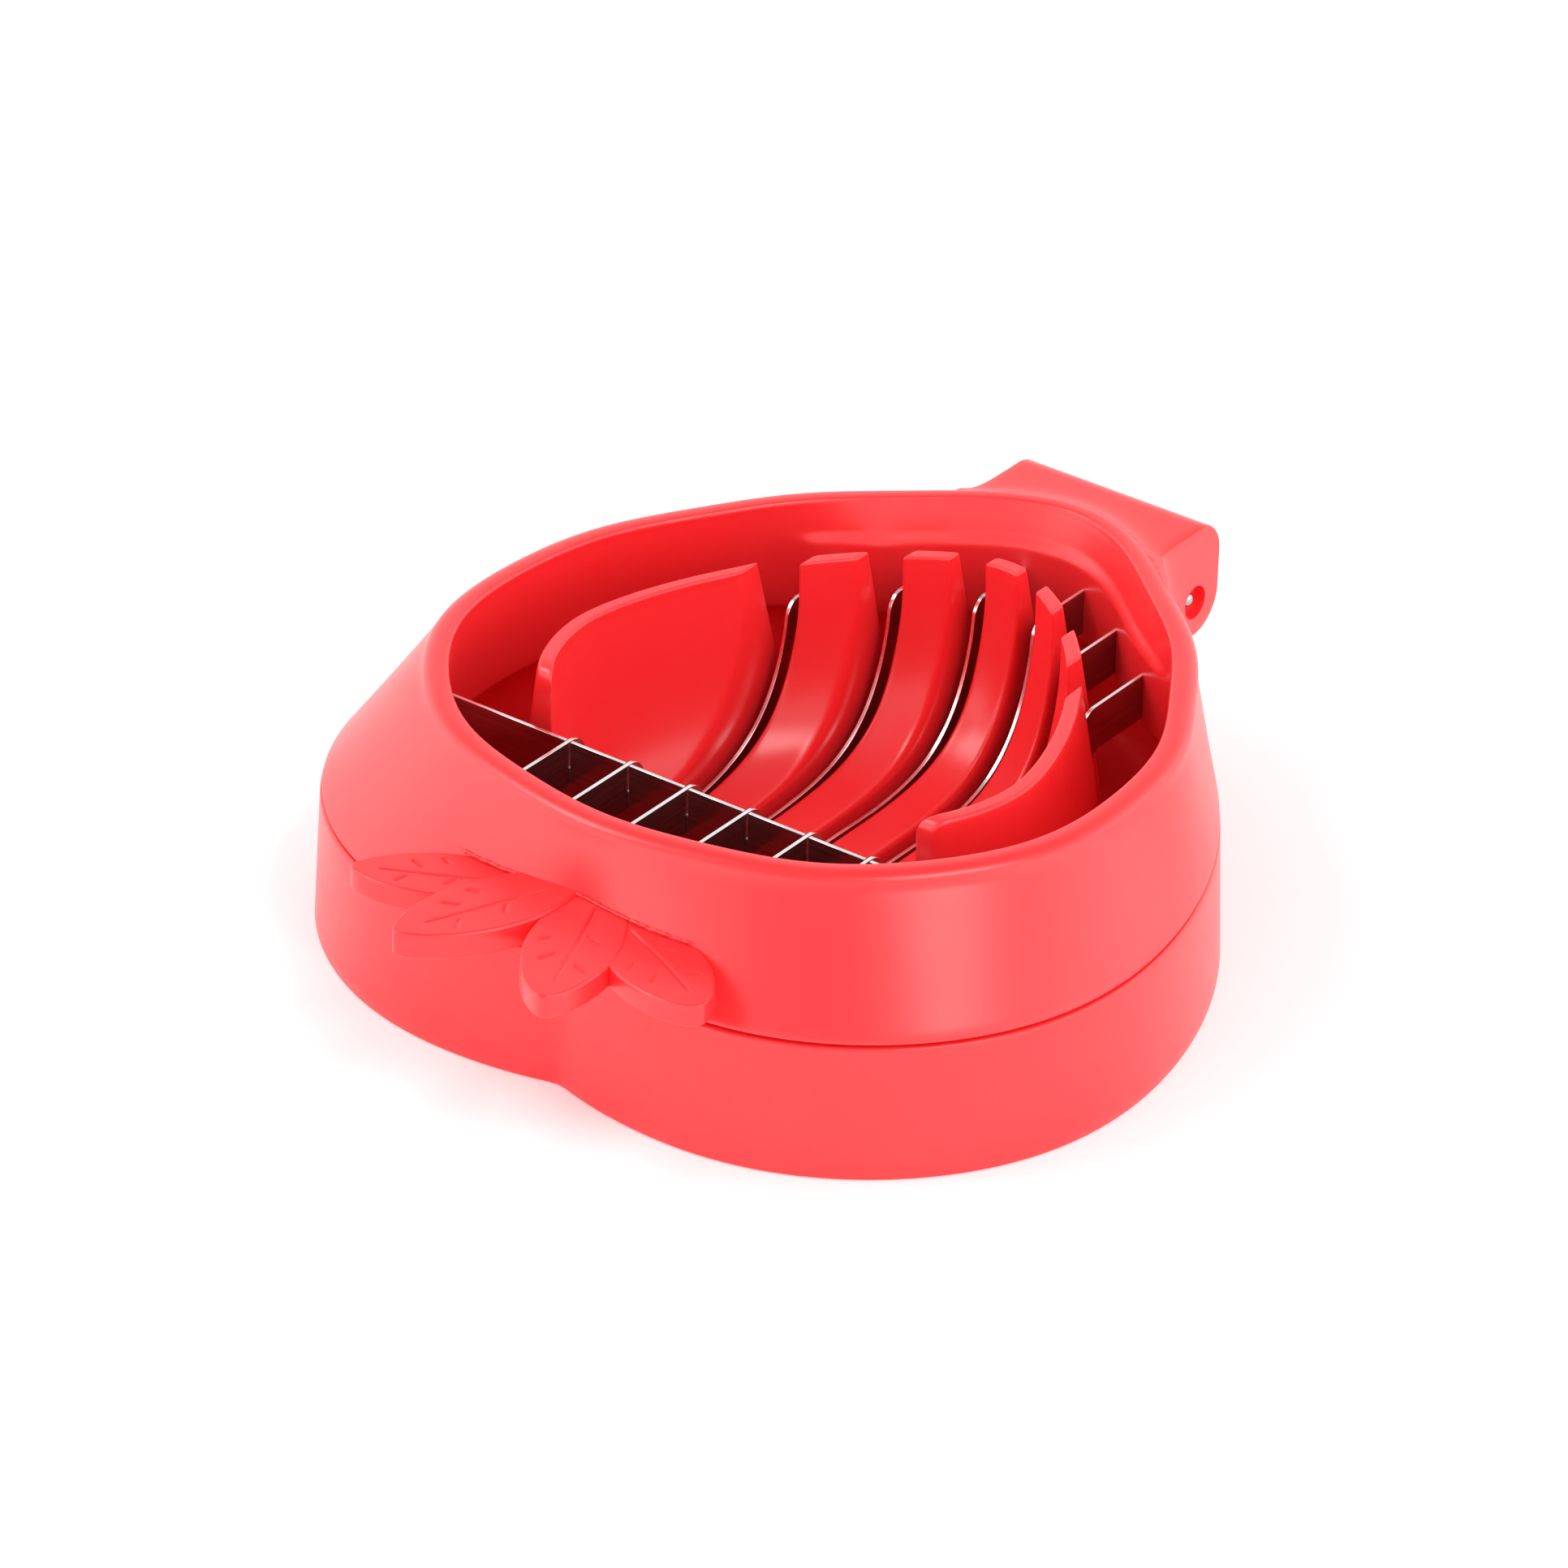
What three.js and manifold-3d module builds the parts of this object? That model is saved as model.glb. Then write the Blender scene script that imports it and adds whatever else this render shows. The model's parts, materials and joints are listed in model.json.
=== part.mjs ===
// Clam-shell egg slicer in the shape of a strawberry.
// The base carries an egg cradle of seven ribs. The lid turns on a steel pin at the pointed end
// and carries six parallel blades, which drop into the slots between the ribs, and one cross blade.
// Millimetres, +Z up. The origin is on the bench under the middle of the hinge end of the cradle,
// +Y points to the hinge and the leaf tab is at -Y.

import * as THREE from 'three';
import { mergeVertices } from 'three/addons/utils/BufferGeometryUtils.js';
import Module from 'manifold-3d';

const wasm = await Module();
wasm.setup();

// ---- driving dimensions ----
const GAP = 0.3;                    // clearance between neighbouring pieces
const STEPS = 72;                   // points around each outline

const BASE_TOP = 13.7;              // upper edge of the base wall
const LID_BOTTOM = 14.0;            // lower edge of the lid wall
const LID_TOP = 26.1;               // top of the lid rim
const SHOULDER_Z = 25.5;            // the outer face turns over into the rim here
const WALL = 2.2;                   // wall thickness of base and lid
const FLOOR = 1.2;                  // floor thickness of the base
const BASE_DRAFT = 0.6;             // the base wall leans in this far up to its top edge

const CRADLE_TOP = 24.7;            // top of the cradle ribs
const CRADLE_BOTTOM = FLOOR + GAP;
const BOWL_DEPTH = 20.6;            // depth of the egg bowl below the rib tops
const BOWL_CENTRE_Y = -15.5;        // widest place of the bowl
const BOWL_HALF_WIDTH = 24.9;
const BOWL_BACK = 33.5;             // bowl length behind its widest place
const BOWL_FRONT = 20.5;            // bowl length ahead of its widest place
const CRADLE_FRONT_Y = -26;         // the bowl is open from here to the leaf end
const CRADLE_WALL = 1.5;            // thickness of the cradle at its top
const FLARE_SIDE = 0.1;             // outward lean of the cradle's outer face at its sides, mm per mm
const FLARE_BACK = 0.25;            // and at its hinge end
const RIB_TOP_HALF = 1.85;          // half width of a middle rib at its top
const RIB_BOTTOM_HALF = 2.4;        // and at its foot

const PITCH = 7;                    // blade spacing
const BLADE_COUNT = 6;
const SHEET = 0.4;                  // blade sheet thickness
const BLADE_TOP = 19.7;             // cutting edge of the straight stretches
const BLADE_STRIP = 4.8;            // height of the straight stretches
const BLADE_LOW = FLOOR + GAP + 0.1;
const BLADE_SHOULDER_R = 2.4;       // rounding where a blade turns down into the bowl
const BACK_POWER = 1.55;            // how pointed the bowl is at the back; 2 would be an ellipse
const EDGE_SIDE = 2.5;              // the hollow edge follows a bowl this much wider than the cradle's,
const EDGE_REAR = 1;                // this much longer at the back,
const EDGE_BACK = 0.3;              // moved back by this much
const EDGE_DROP = 0.9;              // and down by this much
const STRAP_BACK = 2.4;             // breadth of the curved part of a blade, measured backwards
const STRAP_DROP = 2.1;             // and downwards
const FRONT_LEG_Y = -25.7;          // inner edge of a blade's upright front leg
const FRONT_LEG_WIDTH = 1.5;
const FRONT_LEG_R = 2.1;            // rounding at the top of the front leg
const BLADE_IN_WALL = 1.7;          // how far the blade ends reach into the lid
const CROSS_Y = -28.15;             // plane of the cross blade
const CROSS_HALF = 32.3;            // half length of the cross blade
const NOTCH_Z = 16.85;              // blades and cross blade interlock at this height
const NOTCH_LAP = 0.15;             // half the gap between the two notch floors

const HINGE_Y = 34.7;               // hinge pin axis
const HINGE_Z = 17.3;
const PIN_R = 0.75;
const PIN_HALF = 10.7;
const COUNTERBORE_R = 1.75;         // recess around each end of the pin
const COUNTERBORE_DEPTH = 1.1;
const BLOCK_HALF = 11.1;            // half width of the hinge block on the lid
const BLOCK_TOP = 25.2;
const BLOCK_BACK = 38.6;
const BLOCK_HANG = 3.9;             // the block's underside hangs this far below the pin axis
const BLOCK_CORNER_R = 3;           // rounding of its upper back edge
const BLOCK_ROOM = 0.5;             // room for the block in the base wall
const KNUCKLE_HALF = 7.5;           // half width of the base's hinge knuckle
const KNUCKLE_R = 3.2;
const KNUCKLE_FOOT_Z = 8;
const KNUCKLE_BACK_Y = 34.3;        // the knuckle's foot is flush with the base wall
const CHANNEL_R = 4;                // room for the knuckle in the block

const LEAF_TOP = 19.3;
const LEAF_THICK = 2.4;
const LEAF_BEVEL = 0.4;
const TONGUE_HALF = 10;             // tongue that ties the leaves into the lid wall
const TONGUE_BACK_Y = -48.4;

// ---- materials ----
const plastic = (color) => new THREE.MeshStandardMaterial({ color, roughness: 0.38, metalness: 0 });
const steel = (color) => new THREE.MeshStandardMaterial({ color, roughness: 0.22, metalness: 1 });

// ---- outlines ----
// Right halves of the two plan outlines, from the leaf end to the hinge end.
const HEART_HALF = [
  [0, -52.1], [3.7, -52.9], [8.8, -53.8], [14.5, -53.9], [22, -52.4], [30.4, -48.4],
  [37, -42.4], [42, -33.8], [43.85, -22], [42.9, -12.5], [40.3, -5], [34.8, 5.8],
  [26.1, 16.6], [16.8, 26.4], [9.4, 32.4], [0, 34.8],
];
const RIM_HALF = [
  [0, -44.9], [5, -44.6], [9.7, -43.7], [18.9, -40.5], [26.6, -34.8], [32, -26.8], [34.4, -16.5],
  [33.5, -8], [30.8, 0.3], [27.5, 6], [23.7, 11.4], [18, 18], [10.6, 24], [6, 27.1], [2.6, 28.6], [0, 28.95],
];
const RIM_WIDTH = 2.3;
const CENTRE_Y = -12;               // outlines are read as radii about this point

// Radius of a mirrored smooth outline as a function of the angle about (0, CENTRE_Y).
// A sharp outline keeps a crease where its two halves meet at the leaf end.
function polarOutline(half, sharp) {
  const right = half.map(([x, y]) => new THREE.Vector3(x, y, 0));
  const left = half.slice(1).reverse().map(([x, y]) => new THREE.Vector3(-x, y, 0));
  const points = sharp ? [...right, ...left] : [...right, ...left.slice(0, -1)];
  if (sharp) points.push(right[0].clone());
  const curve = new THREE.CatmullRomCurve3(points, !sharp, 'centripetal');
  const samples = curve.getPoints(600).map((p) => {
    const turn = Math.atan2(p.y - CENTRE_Y, p.x) + Math.PI / 2;
    return [(turn + 2 * Math.PI) % (2 * Math.PI), Math.hypot(p.x, p.y - CENTRE_Y)];
  });
  samples.sort((a, b) => a[0] - b[0]);
  return (angle) => {
    const turn = (((angle + Math.PI / 2) % (2 * Math.PI)) + 2 * Math.PI) % (2 * Math.PI);
    let k = samples.findIndex((s) => s[0] > turn);
    if (k < 1) k = turn > 3 ? samples.length - 1 : 1;
    const [a0, r0] = samples[k - 1];
    const [a1, r1] = samples[k];
    return r0 + (r1 - r0) * THREE.MathUtils.clamp((turn - a0) / (a1 - a0 || 1), 0, 1);
  };
}

const heartRadius = polarOutline(HEART_HALF, true);
const rimRadius = polarOutline(RIM_HALF, false);
const smooth = THREE.MathUtils.smoothstep;
const lerp = THREE.MathUtils.lerp;
const at = (radius, angle, z) => new THREE.Vector3(
  radius * Math.cos(angle), CENTRE_Y + radius * Math.sin(angle), z);
const angles = Array.from({ length: STEPS }, (_, i) => -Math.PI / 2 + (2 * Math.PI * i) / STEPS);

// Outer face of the lid: a straight lean from the parting line in to the rim.
function lidOuter(angle, z) {
  const lean = THREE.MathUtils.clamp((z - LID_BOTTOM) / (SHOULDER_Z - LID_BOTTOM), 0, 1);
  return lerp(heartRadius(angle) - BASE_DRAFT, rimRadius(angle) + RIM_WIDTH, lean);
}

// Inner face of the lid, with the band that holds the blade ends around the hinge end.
const BAND_PROUD = 1.9;
const BAND_END = THREE.MathUtils.degToRad(47);
const BAND_FADE = THREE.MathUtils.degToRad(7);
const BAND_LEAN = 0.68;             // share of the band reached by leaning in from the rim
const BAND_TOP = 22.9;              // the rest is a rounded step from here
const BAND_STEP = 1.4;              // to this far below
const INNER_DRAFT = 0.1;
function lidInner(angle, z) {
  const fromHinge = Math.abs(((angle - Math.PI / 2 + 3 * Math.PI) % (2 * Math.PI)) - Math.PI);
  const along = 1 - smooth(fromHinge, Math.PI / 2 - BAND_END - BAND_FADE, Math.PI / 2 - BAND_END);
  const lean = 1 - THREE.MathUtils.clamp((z - BAND_TOP + 0.5) / (LID_TOP - BAND_TOP), 0, 1);
  const step = 1 - smooth(z, BAND_TOP - BAND_STEP, BAND_TOP);
  const proud = BAND_PROUD * (BAND_LEAN * lean + (1 - BAND_LEAN) * step);
  return rimRadius(angle) + INNER_DRAFT * (LID_TOP - z) * (1 - along) - proud * along;
}

// ---- solid helpers ----
// A closed mesh from loops of equal length: consecutive loops are joined, and either the last
// joins the first (wrap) or both ends are capped.
function loft(loops, wrap = false) {
  const count = loops[0].length;
  const positions = loops.flat().flatMap((p) => [p.x, p.y, p.z]);
  const index = [];
  const last = wrap ? loops.length : loops.length - 1;
  for (let j = 0; j < last; j += 1) {
    for (let i = 0; i < count; i += 1) {
      const a = j * count + i;
      const b = j * count + ((i + 1) % count);
      const c = ((j + 1) % loops.length) * count + i;
      const d = ((j + 1) % loops.length) * count + ((i + 1) % count);
      index.push(a, b, d, a, d, c);
    }
  }
  if (!wrap) {
    for (const [j, flip] of [[0, true], [loops.length - 1, false]]) {
      const middle = loops[j].reduce((sum, p) => sum.add(p), new THREE.Vector3()).divideScalar(count);
      const centre = positions.length / 3;
      positions.push(middle.x, middle.y, middle.z);
      for (let i = 0; i < count; i += 1) {
        const a = j * count + i;
        const b = j * count + ((i + 1) % count);
        index.push(...(flip ? [b, a, centre] : [a, b, centre]));
      }
    }
  }
  const geometry = new THREE.BufferGeometry();
  geometry.setAttribute('position', new THREE.Float32BufferAttribute(positions, 3));
  geometry.setIndex(index);
  return geometry;
}

function toSolid(source) {
  const bare = source.clone();
  bare.deleteAttribute('normal');
  bare.deleteAttribute('uv');
  const geometry = mergeVertices(bare, 1e-4);
  const vertProperties = new Float32Array(geometry.attributes.position.array);
  const triVerts = new Uint32Array(geometry.index.array);
  const solid = new wasm.Manifold(new wasm.Mesh({ numProp: 3, vertProperties, triVerts }));
  if (solid.volume() > 0) return solid;
  for (let i = 0; i < triVerts.length; i += 3) {
    [triVerts[i], triVerts[i + 1]] = [triVerts[i + 1], triVerts[i]];
  }
  return new wasm.Manifold(new wasm.Mesh({ numProp: 3, vertProperties, triVerts }));
}

function toGeometry(solid) {
  const mesh = solid.getMesh();
  const geometry = new THREE.BufferGeometry();
  geometry.setAttribute('position', new THREE.BufferAttribute(new Float32Array(mesh.vertProperties), 3));
  geometry.setIndex(new THREE.BufferAttribute(new Uint32Array(mesh.triVerts), 1));
  geometry.computeVertexNormals();
  return geometry;
}

function box(x0, x1, y0, y1, z0, z1) {
  const geometry = new THREE.BoxGeometry(x1 - x0, y1 - y0, z1 - z0);
  geometry.translate((x0 + x1) / 2, (y0 + y1) / 2, (z0 + z1) / 2);
  return toSolid(geometry);
}

// A profile of [y, z] points pushed along X.
function alongX(profile, x0, x1) {
  const shape = new THREE.Shape(profile.map(([y, z]) => new THREE.Vector2(y, z)));
  const geometry = new THREE.ExtrudeGeometry(shape, { depth: x1 - x0, bevelEnabled: false });
  geometry.applyMatrix4(new THREE.Matrix4().set(0, 0, 1, x0, 1, 0, 0, 0, 0, 1, 0, 0, 0, 0, 0, 1));
  return toSolid(geometry);
}

// A profile of [x, z] points pushed along Y.
function alongY(profile, y0, y1) {
  const shape = new THREE.Shape(profile.map(([x, z]) => new THREE.Vector2(x, z)));
  const geometry = new THREE.ExtrudeGeometry(shape, { depth: y1 - y0, bevelEnabled: false });
  geometry.applyMatrix4(new THREE.Matrix4().set(1, 0, 0, 0, 0, 0, -1, y1, 0, 1, 0, 0, 0, 0, 0, 1));
  return toSolid(geometry);
}

function rodX(radius, x0, x1, sides = 24) {
  const geometry = new THREE.CylinderGeometry(radius, radius, x1 - x0, sides);
  geometry.rotateZ(Math.PI / 2);
  geometry.translate((x0 + x1) / 2, HINGE_Y, HINGE_Z);
  return toSolid(geometry);
}

// Points of an arc in the YZ plane, angles in degrees from +Y towards +Z.
function arc(y, z, radius, from, to, steps) {
  return Array.from({ length: steps + 1 }, (_, i) => {
    const a = THREE.MathUtils.degToRad(from + ((to - from) * i) / steps);
    return [y + radius * Math.cos(a), z + radius * Math.sin(a)];
  });
}

// ---- base ----
function makeBaseShell() {
  const loopAt = (z, inset) => angles.map((a) =>
    at(heartRadius(a) - (BASE_DRAFT * z) / BASE_TOP - inset, a, z));
  let shell = toSolid(loft([
    loopAt(0, 0.15),
    loopAt(0.3, 0),
    loopAt(BASE_TOP - 0.4, 0),
    loopAt(BASE_TOP, 0.4),
    loopAt(BASE_TOP, WALL - 0.2),
    loopAt(BASE_TOP - 0.3, WALL),
    loopAt(FLOOR + 1.5, WALL + 0.2),
    loopAt(FLOOR, WALL + 1.5),
  ]));
  // room for the lid's hinge block, whose lower edge hangs below the parting line
  const recessFloor = HINGE_Z - BLOCK_HANG - BLOCK_ROOM;
  const recessHalf = BLOCK_HALF + BLOCK_ROOM - 0.1;
  shell = shell.subtract(box(-recessHalf, recessHalf, 28.6, 45, recessFloor, 20));
  const knuckle = alongX([
    [HINGE_Y - KNUCKLE_R, KNUCKLE_FOOT_Z],
    [KNUCKLE_BACK_Y, KNUCKLE_FOOT_Z],
    [KNUCKLE_BACK_Y, KNUCKLE_FOOT_Z + 4],
    ...arc(HINGE_Y, HINGE_Z, KNUCKLE_R, -45, 180, 18),
  ], -KNUCKLE_HALF, KNUCKLE_HALF);
  return shell.add(knuckle).subtract(rodX(PIN_R + GAP, -KNUCKLE_HALF - 1, KNUCKLE_HALF + 1));
}

// ---- egg cradle ----
// Plan outline of the bowl mouth, grown by an offset: a pointed egg.
function bowlPoint(angle, scale, growX, growY, z) {
  const back = Math.sin(angle) > 0;
  const power = back ? BACK_POWER : 2;
  const a = BOWL_HALF_WIDTH * scale + growX;
  const b = (back ? BOWL_BACK : BOWL_FRONT) * scale + growY;
  const c = Math.cos(angle);
  const s = Math.sin(angle);
  const r = (Math.abs(c / a) ** power + Math.abs(s / b) ** power) ** (-1 / power);
  return new THREE.Vector3(r * c, BOWL_CENTRE_Y + r * s, z);
}

// How far the bowl narrows at a fraction of its depth.
const bowlScale = (f) => Math.max(1 - f ** 2.2, 1e-5) ** (1 / 6.8);

function makeCradle() {
  const bowlLoops = [];
  for (const f of [-0.1, 0, 0.12, 0.3, 0.5, 0.68, 0.82, 0.91, 0.96, 0.985, 0.997, 1]) {
    const scale = f <= 0 ? 1 : bowlScale(f);
    bowlLoops.push(angles.map((a) => bowlPoint(a, scale, 0, 0, CRADLE_TOP - BOWL_DEPTH * f)));
  }
  const bowl = toSolid(loft(bowlLoops));
  const outer = (z) => angles.map((a) => bowlPoint(a, 1,
    CRADLE_WALL + FLARE_SIDE * (CRADLE_TOP - z), CRADLE_WALL + FLARE_BACK * (CRADLE_TOP - z), z));
  const body = toSolid(loft([outer(CRADLE_BOTTOM), outer(CRADLE_TOP)]));
  return body.subtract(bowl).subtract(box(-60, 60, -60, CRADLE_FRONT_Y, 0, 30));
}

// The slab of the cradle that rib number k keeps, counted from the -X side.
function ribSlab(k) {
  const side = k - BLADE_COUNT / 2;
  const x = side * PITCH;
  const reach = 20;
  const left = side === -BLADE_COUNT / 2 ? reach : 0;
  const right = side === BLADE_COUNT / 2 ? reach : 0;
  return alongY([
    [x - RIB_BOTTOM_HALF - left, 0],
    [x + RIB_BOTTOM_HALF + right, 0],
    [x + RIB_TOP_HALF + right, CRADLE_TOP + 2],
    [x - RIB_TOP_HALF - left, CRADLE_TOP + 2],
  ], -40, 40);
}

// ---- lid ----
function makeLidFrame() {
  const outerZ = [LID_BOTTOM + 0.3, 15.5, 17.2, 19, 21, 23, 24.6, SHOULDER_Z];
  const innerZ = [25.6, 24, 22.9, 22.4, 21.9, 21.4, 19, LID_BOTTOM + 0.3];
  const sections = angles.map((a) => [
    at(lidOuter(a, LID_BOTTOM) - 0.3, a, LID_BOTTOM),
    ...outerZ.map((z) => at(lidOuter(a, z), a, z)),
    at(rimRadius(a) + RIM_WIDTH - 0.5, a, LID_TOP - 0.12),
    at(rimRadius(a) + 0.9, a, LID_TOP),
    at(rimRadius(a) + 0.25, a, LID_TOP - 0.1),
    ...innerZ.map((z) => at(lidInner(a, z), a, z)),
    at(lidInner(a, LID_BOTTOM) + 0.3, a, LID_BOTTOM),
  ]);
  let lid = toSolid(loft(sections, true));

  const block = alongX([
    [HINGE_Y - 5, HINGE_Z - BLOCK_HANG],
    ...arc(HINGE_Y, HINGE_Z, BLOCK_BACK - HINGE_Y, -90, 0, 8),
    ...arc(BLOCK_BACK - BLOCK_CORNER_R, BLOCK_TOP - BLOCK_CORNER_R, BLOCK_CORNER_R, 0, 90, 6),
    [28.2, BLOCK_TOP],
    [28.2, LID_BOTTOM + 1],
  ], -BLOCK_HALF, BLOCK_HALF);
  const mouth = toSolid(loft([10, 30].map((z) => angles.map((a) => at(lidInner(a, 20) + 0.6, a, z)))));
  lid = lid.add(block.subtract(mouth));

  // channel for the knuckle, open below and behind so that the lid can swing right back
  const channelHalf = KNUCKLE_HALF + 0.5;
  lid = lid.subtract(alongX([
    [HINGE_Y - KNUCKLE_R - GAP, 10],
    [45, 10],
    [45, HINGE_Z + CHANNEL_R],
    ...arc(HINGE_Y, HINGE_Z, CHANNEL_R, 90, 150, 4),
    [HINGE_Y - KNUCKLE_R - GAP, HINGE_Z + 1.6],
  ], -channelHalf, channelHalf));
  lid = lid.subtract(rodX(PIN_R + GAP, -BLOCK_HALF + 1, BLOCK_HALF - 1));
  for (const side of [-1, 1]) {
    const floor = side * (BLOCK_HALF - COUNTERBORE_DEPTH);
    const mouthX = side * (BLOCK_HALF + 0.1);
    lid = lid.subtract(rodX(COUNTERBORE_R, Math.min(floor, mouthX), Math.max(floor, mouthX)));
    lid = lid.subtract(lidGroove(side));
    lid = lid.subtract(box(
      Math.min(side * 28, side * (CROSS_HALF + GAP)), Math.max(side * 28, side * (CROSS_HALF + GAP)),
      CROSS_Y - SHEET / 2 - GAP, CROSS_Y + SHEET / 2 + GAP, LID_BOTTOM - 1, BLADE_TOP + GAP));
  }
  for (const x of bladePlaces) {
    lid = lid.subtract(box(x - SHEET / 2 - GAP, x + SHEET / 2 + GAP,
      bladeFront(x) - GAP, bladeBack(x) + GAP, LID_BOTTOM - 1, BLADE_TOP + GAP));
  }
  const slotHalf = TONGUE_HALF + GAP;
  return lid.subtract(box(-slotHalf, slotHalf, -52, TONGUE_BACK_Y + GAP, LEAF_TOP - LEAF_THICK, LEAF_TOP));
}

// The hollow that keeps the lid's side walls thin, open from below.
const GROOVE_FRONT = -50;            // degrees from +X
const GROOVE_BACK = 42;
const GROOVE_TOP = 20.5;
const SKIRT = 1.8;                   // thickness left inside the hollow
const OUTER_SKIN = 2;                // and outside it
function lidGroove(side) {
  const sections = [];
  for (let degrees = GROOVE_FRONT; degrees <= GROOVE_BACK; degrees += 4) {
    const a = THREE.MathUtils.degToRad(side > 0 ? degrees : 180 - degrees);
    const low = LID_BOTTOM - 1;
    sections.push([
      at(lidInner(a, LID_BOTTOM) + SKIRT, a, low),
      at(lidOuter(a, LID_BOTTOM) - OUTER_SKIN, a, low),
      at(lidOuter(a, GROOVE_TOP) - OUTER_SKIN, a, GROOVE_TOP),
      at(lidInner(a, GROOVE_TOP) + SKIRT, a, GROOVE_TOP),
    ]);
  }
  return toSolid(loft(sections));
}

// ---- leaf tab ----
function leaf(rootX, rootY, tipX, tipY, halfWidth, blunt) {
  const axis = new THREE.Vector2(tipX - rootX, tipY - rootY);
  const across = new THREE.Vector2(-axis.y, axis.x).normalize();
  const steps = 14;
  const side = (sign) => Array.from({ length: steps + 1 }, (_, i) => {
    const t = i / steps;
    const pointed = Math.sin(Math.PI * t) ** blunt;
    const rounded = (1 - Math.abs(2 * t - 1) ** 2.1) ** 0.6;
    const width = (sign * halfWidth * (pointed + rounded)) / 2;
    return new THREE.Vector2(rootX, rootY).addScaledVector(axis, t).addScaledVector(across, width);
  });
  const outline = [...side(1), ...side(-1).reverse().slice(1, -1)];
  const geometry = new THREE.ExtrudeGeometry(new THREE.Shape(outline), {
    depth: LEAF_THICK - 2 * LEAF_BEVEL,
    bevelSize: LEAF_BEVEL,
    bevelThickness: LEAF_BEVEL,
    bevelOffset: -LEAF_BEVEL,
    bevelSegments: 2,
  });
  geometry.translate(0, 0, LEAF_TOP - LEAF_THICK + LEAF_BEVEL);
  return toSolid(geometry);
}

function makeLeafCrown() {
  const leaves = [];
  for (const side of [-1, 1]) {
    leaves.push(leaf(side * 1.2, -46.5, side * 8.4, -65.6, 4.45, 0.75));
    leaves.push(leaf(side * 4, -49.5, side * 19.7, -57.8, 4.1, 0.7));
  }
  const plate = leaves.reduce((sum, piece) => sum.add(piece));
  const lidSide = toSolid(loft([15, 17, 19, 21].map((z) => angles.map((a) => at(lidOuter(a, z) + GAP, a, z)))));
  const tongue = box(-TONGUE_HALF, TONGUE_HALF, -51.2, TONGUE_BACK_Y, LEAF_TOP - LEAF_THICK + GAP, LEAF_TOP - GAP);
  return plate.subtract(lidSide).add(tongue);
}

// ---- blades ----
const bladePlaces = Array.from({ length: BLADE_COUNT }, (_, i) => (i - (BLADE_COUNT - 1) / 2) * PITCH);

// Where a plane of constant x meets the lid's inner face, at blade height.
function wallY(x, sign) {
  let angle = (sign * Math.PI) / 2;
  for (let i = 0; i < 30; i += 1) {
    angle = sign * Math.acos(x / lidInner(angle, BLADE_TOP - 2));
  }
  return CENTRE_Y + lidInner(angle, BLADE_TOP - 2) * Math.sin(angle);
}
const bladeBack = (x) => wallY(x, 1) + BLADE_IN_WALL;
const bladeFront = (x) => wallY(x, -1) - BLADE_IN_WALL;

// The hollow edge of a blade, from the hinge side down to the floor: it follows the bowl.
function hollowEdge(x) {
  const points = [];
  for (const f of [0.31, 0.4, 0.5, 0.6, 0.7, 0.79, 0.87, 0.93, 0.97, 0.99, 1]) {
    const scale = bowlScale(f);
    const across = Math.abs(x) / ((BOWL_HALF_WIDTH + EDGE_SIDE) * scale);
    if (across >= 0.97) break;
    const reach = (BOWL_BACK + EDGE_REAR) * scale * (1 - across ** BACK_POWER) ** (1 / BACK_POWER);
    points.push([BOWL_CENTRE_Y + reach + EDGE_BACK, CRADLE_TOP - EDGE_DROP - BOWL_DEPTH * f]);
  }
  return points;
}

function makeBlade(x) {
  const back = bladeBack(x);
  const front = bladeFront(x);
  const low = BLADE_TOP - BLADE_STRIP;
  const inner = hollowEdge(x);
  const shoulder = inner[0][0];
  const floorZ = inner[inner.length - 1][1];
  const outer = inner.filter(([, z]) => z < low - 2).map(([y, z]) => [
    y + STRAP_BACK * Math.min(1, (z - floorZ + 1.5) / 8),
    Math.max(z - STRAP_DROP, BLADE_LOW),
  ]);
  const leg = FRONT_LEG_Y;
  const legFront = leg - FRONT_LEG_WIDTH;
  const notchFront = CROSS_Y - SHEET / 2 - GAP;
  const profile = [
    [back, BLADE_TOP],
    ...arc(shoulder + BLADE_SHOULDER_R, BLADE_TOP - BLADE_SHOULDER_R, BLADE_SHOULDER_R, 90, 170, 5),
    ...inner.filter(([, z]) => z < BLADE_TOP - BLADE_SHOULDER_R - 0.6),
    [leg + 5, floorZ],
    [leg + 2.2, floorZ + 0.8],
    [leg + 0.6, floorZ + 3],
    [leg, floorZ + 6],
    ...arc(leg - FRONT_LEG_R, BLADE_TOP - FRONT_LEG_R, FRONT_LEG_R, 10, 90, 5),
    [front, BLADE_TOP],
    [front, low],
    [notchFront, low],
    [notchFront, NOTCH_Z + NOTCH_LAP],
    [legFront, NOTCH_Z + NOTCH_LAP],
    [legFront, floorZ + 5],
    [legFront + 1, floorZ + 0.5],
    [leg + 1.5, BLADE_LOW],
    ...outer.reverse(),
    [shoulder + 2.8, low],
    [shoulder + 1.8, low - 0.5],
    [back, low],
  ];
  return alongX(profile, x - SHEET / 2, x + SHEET / 2);
}

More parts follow.
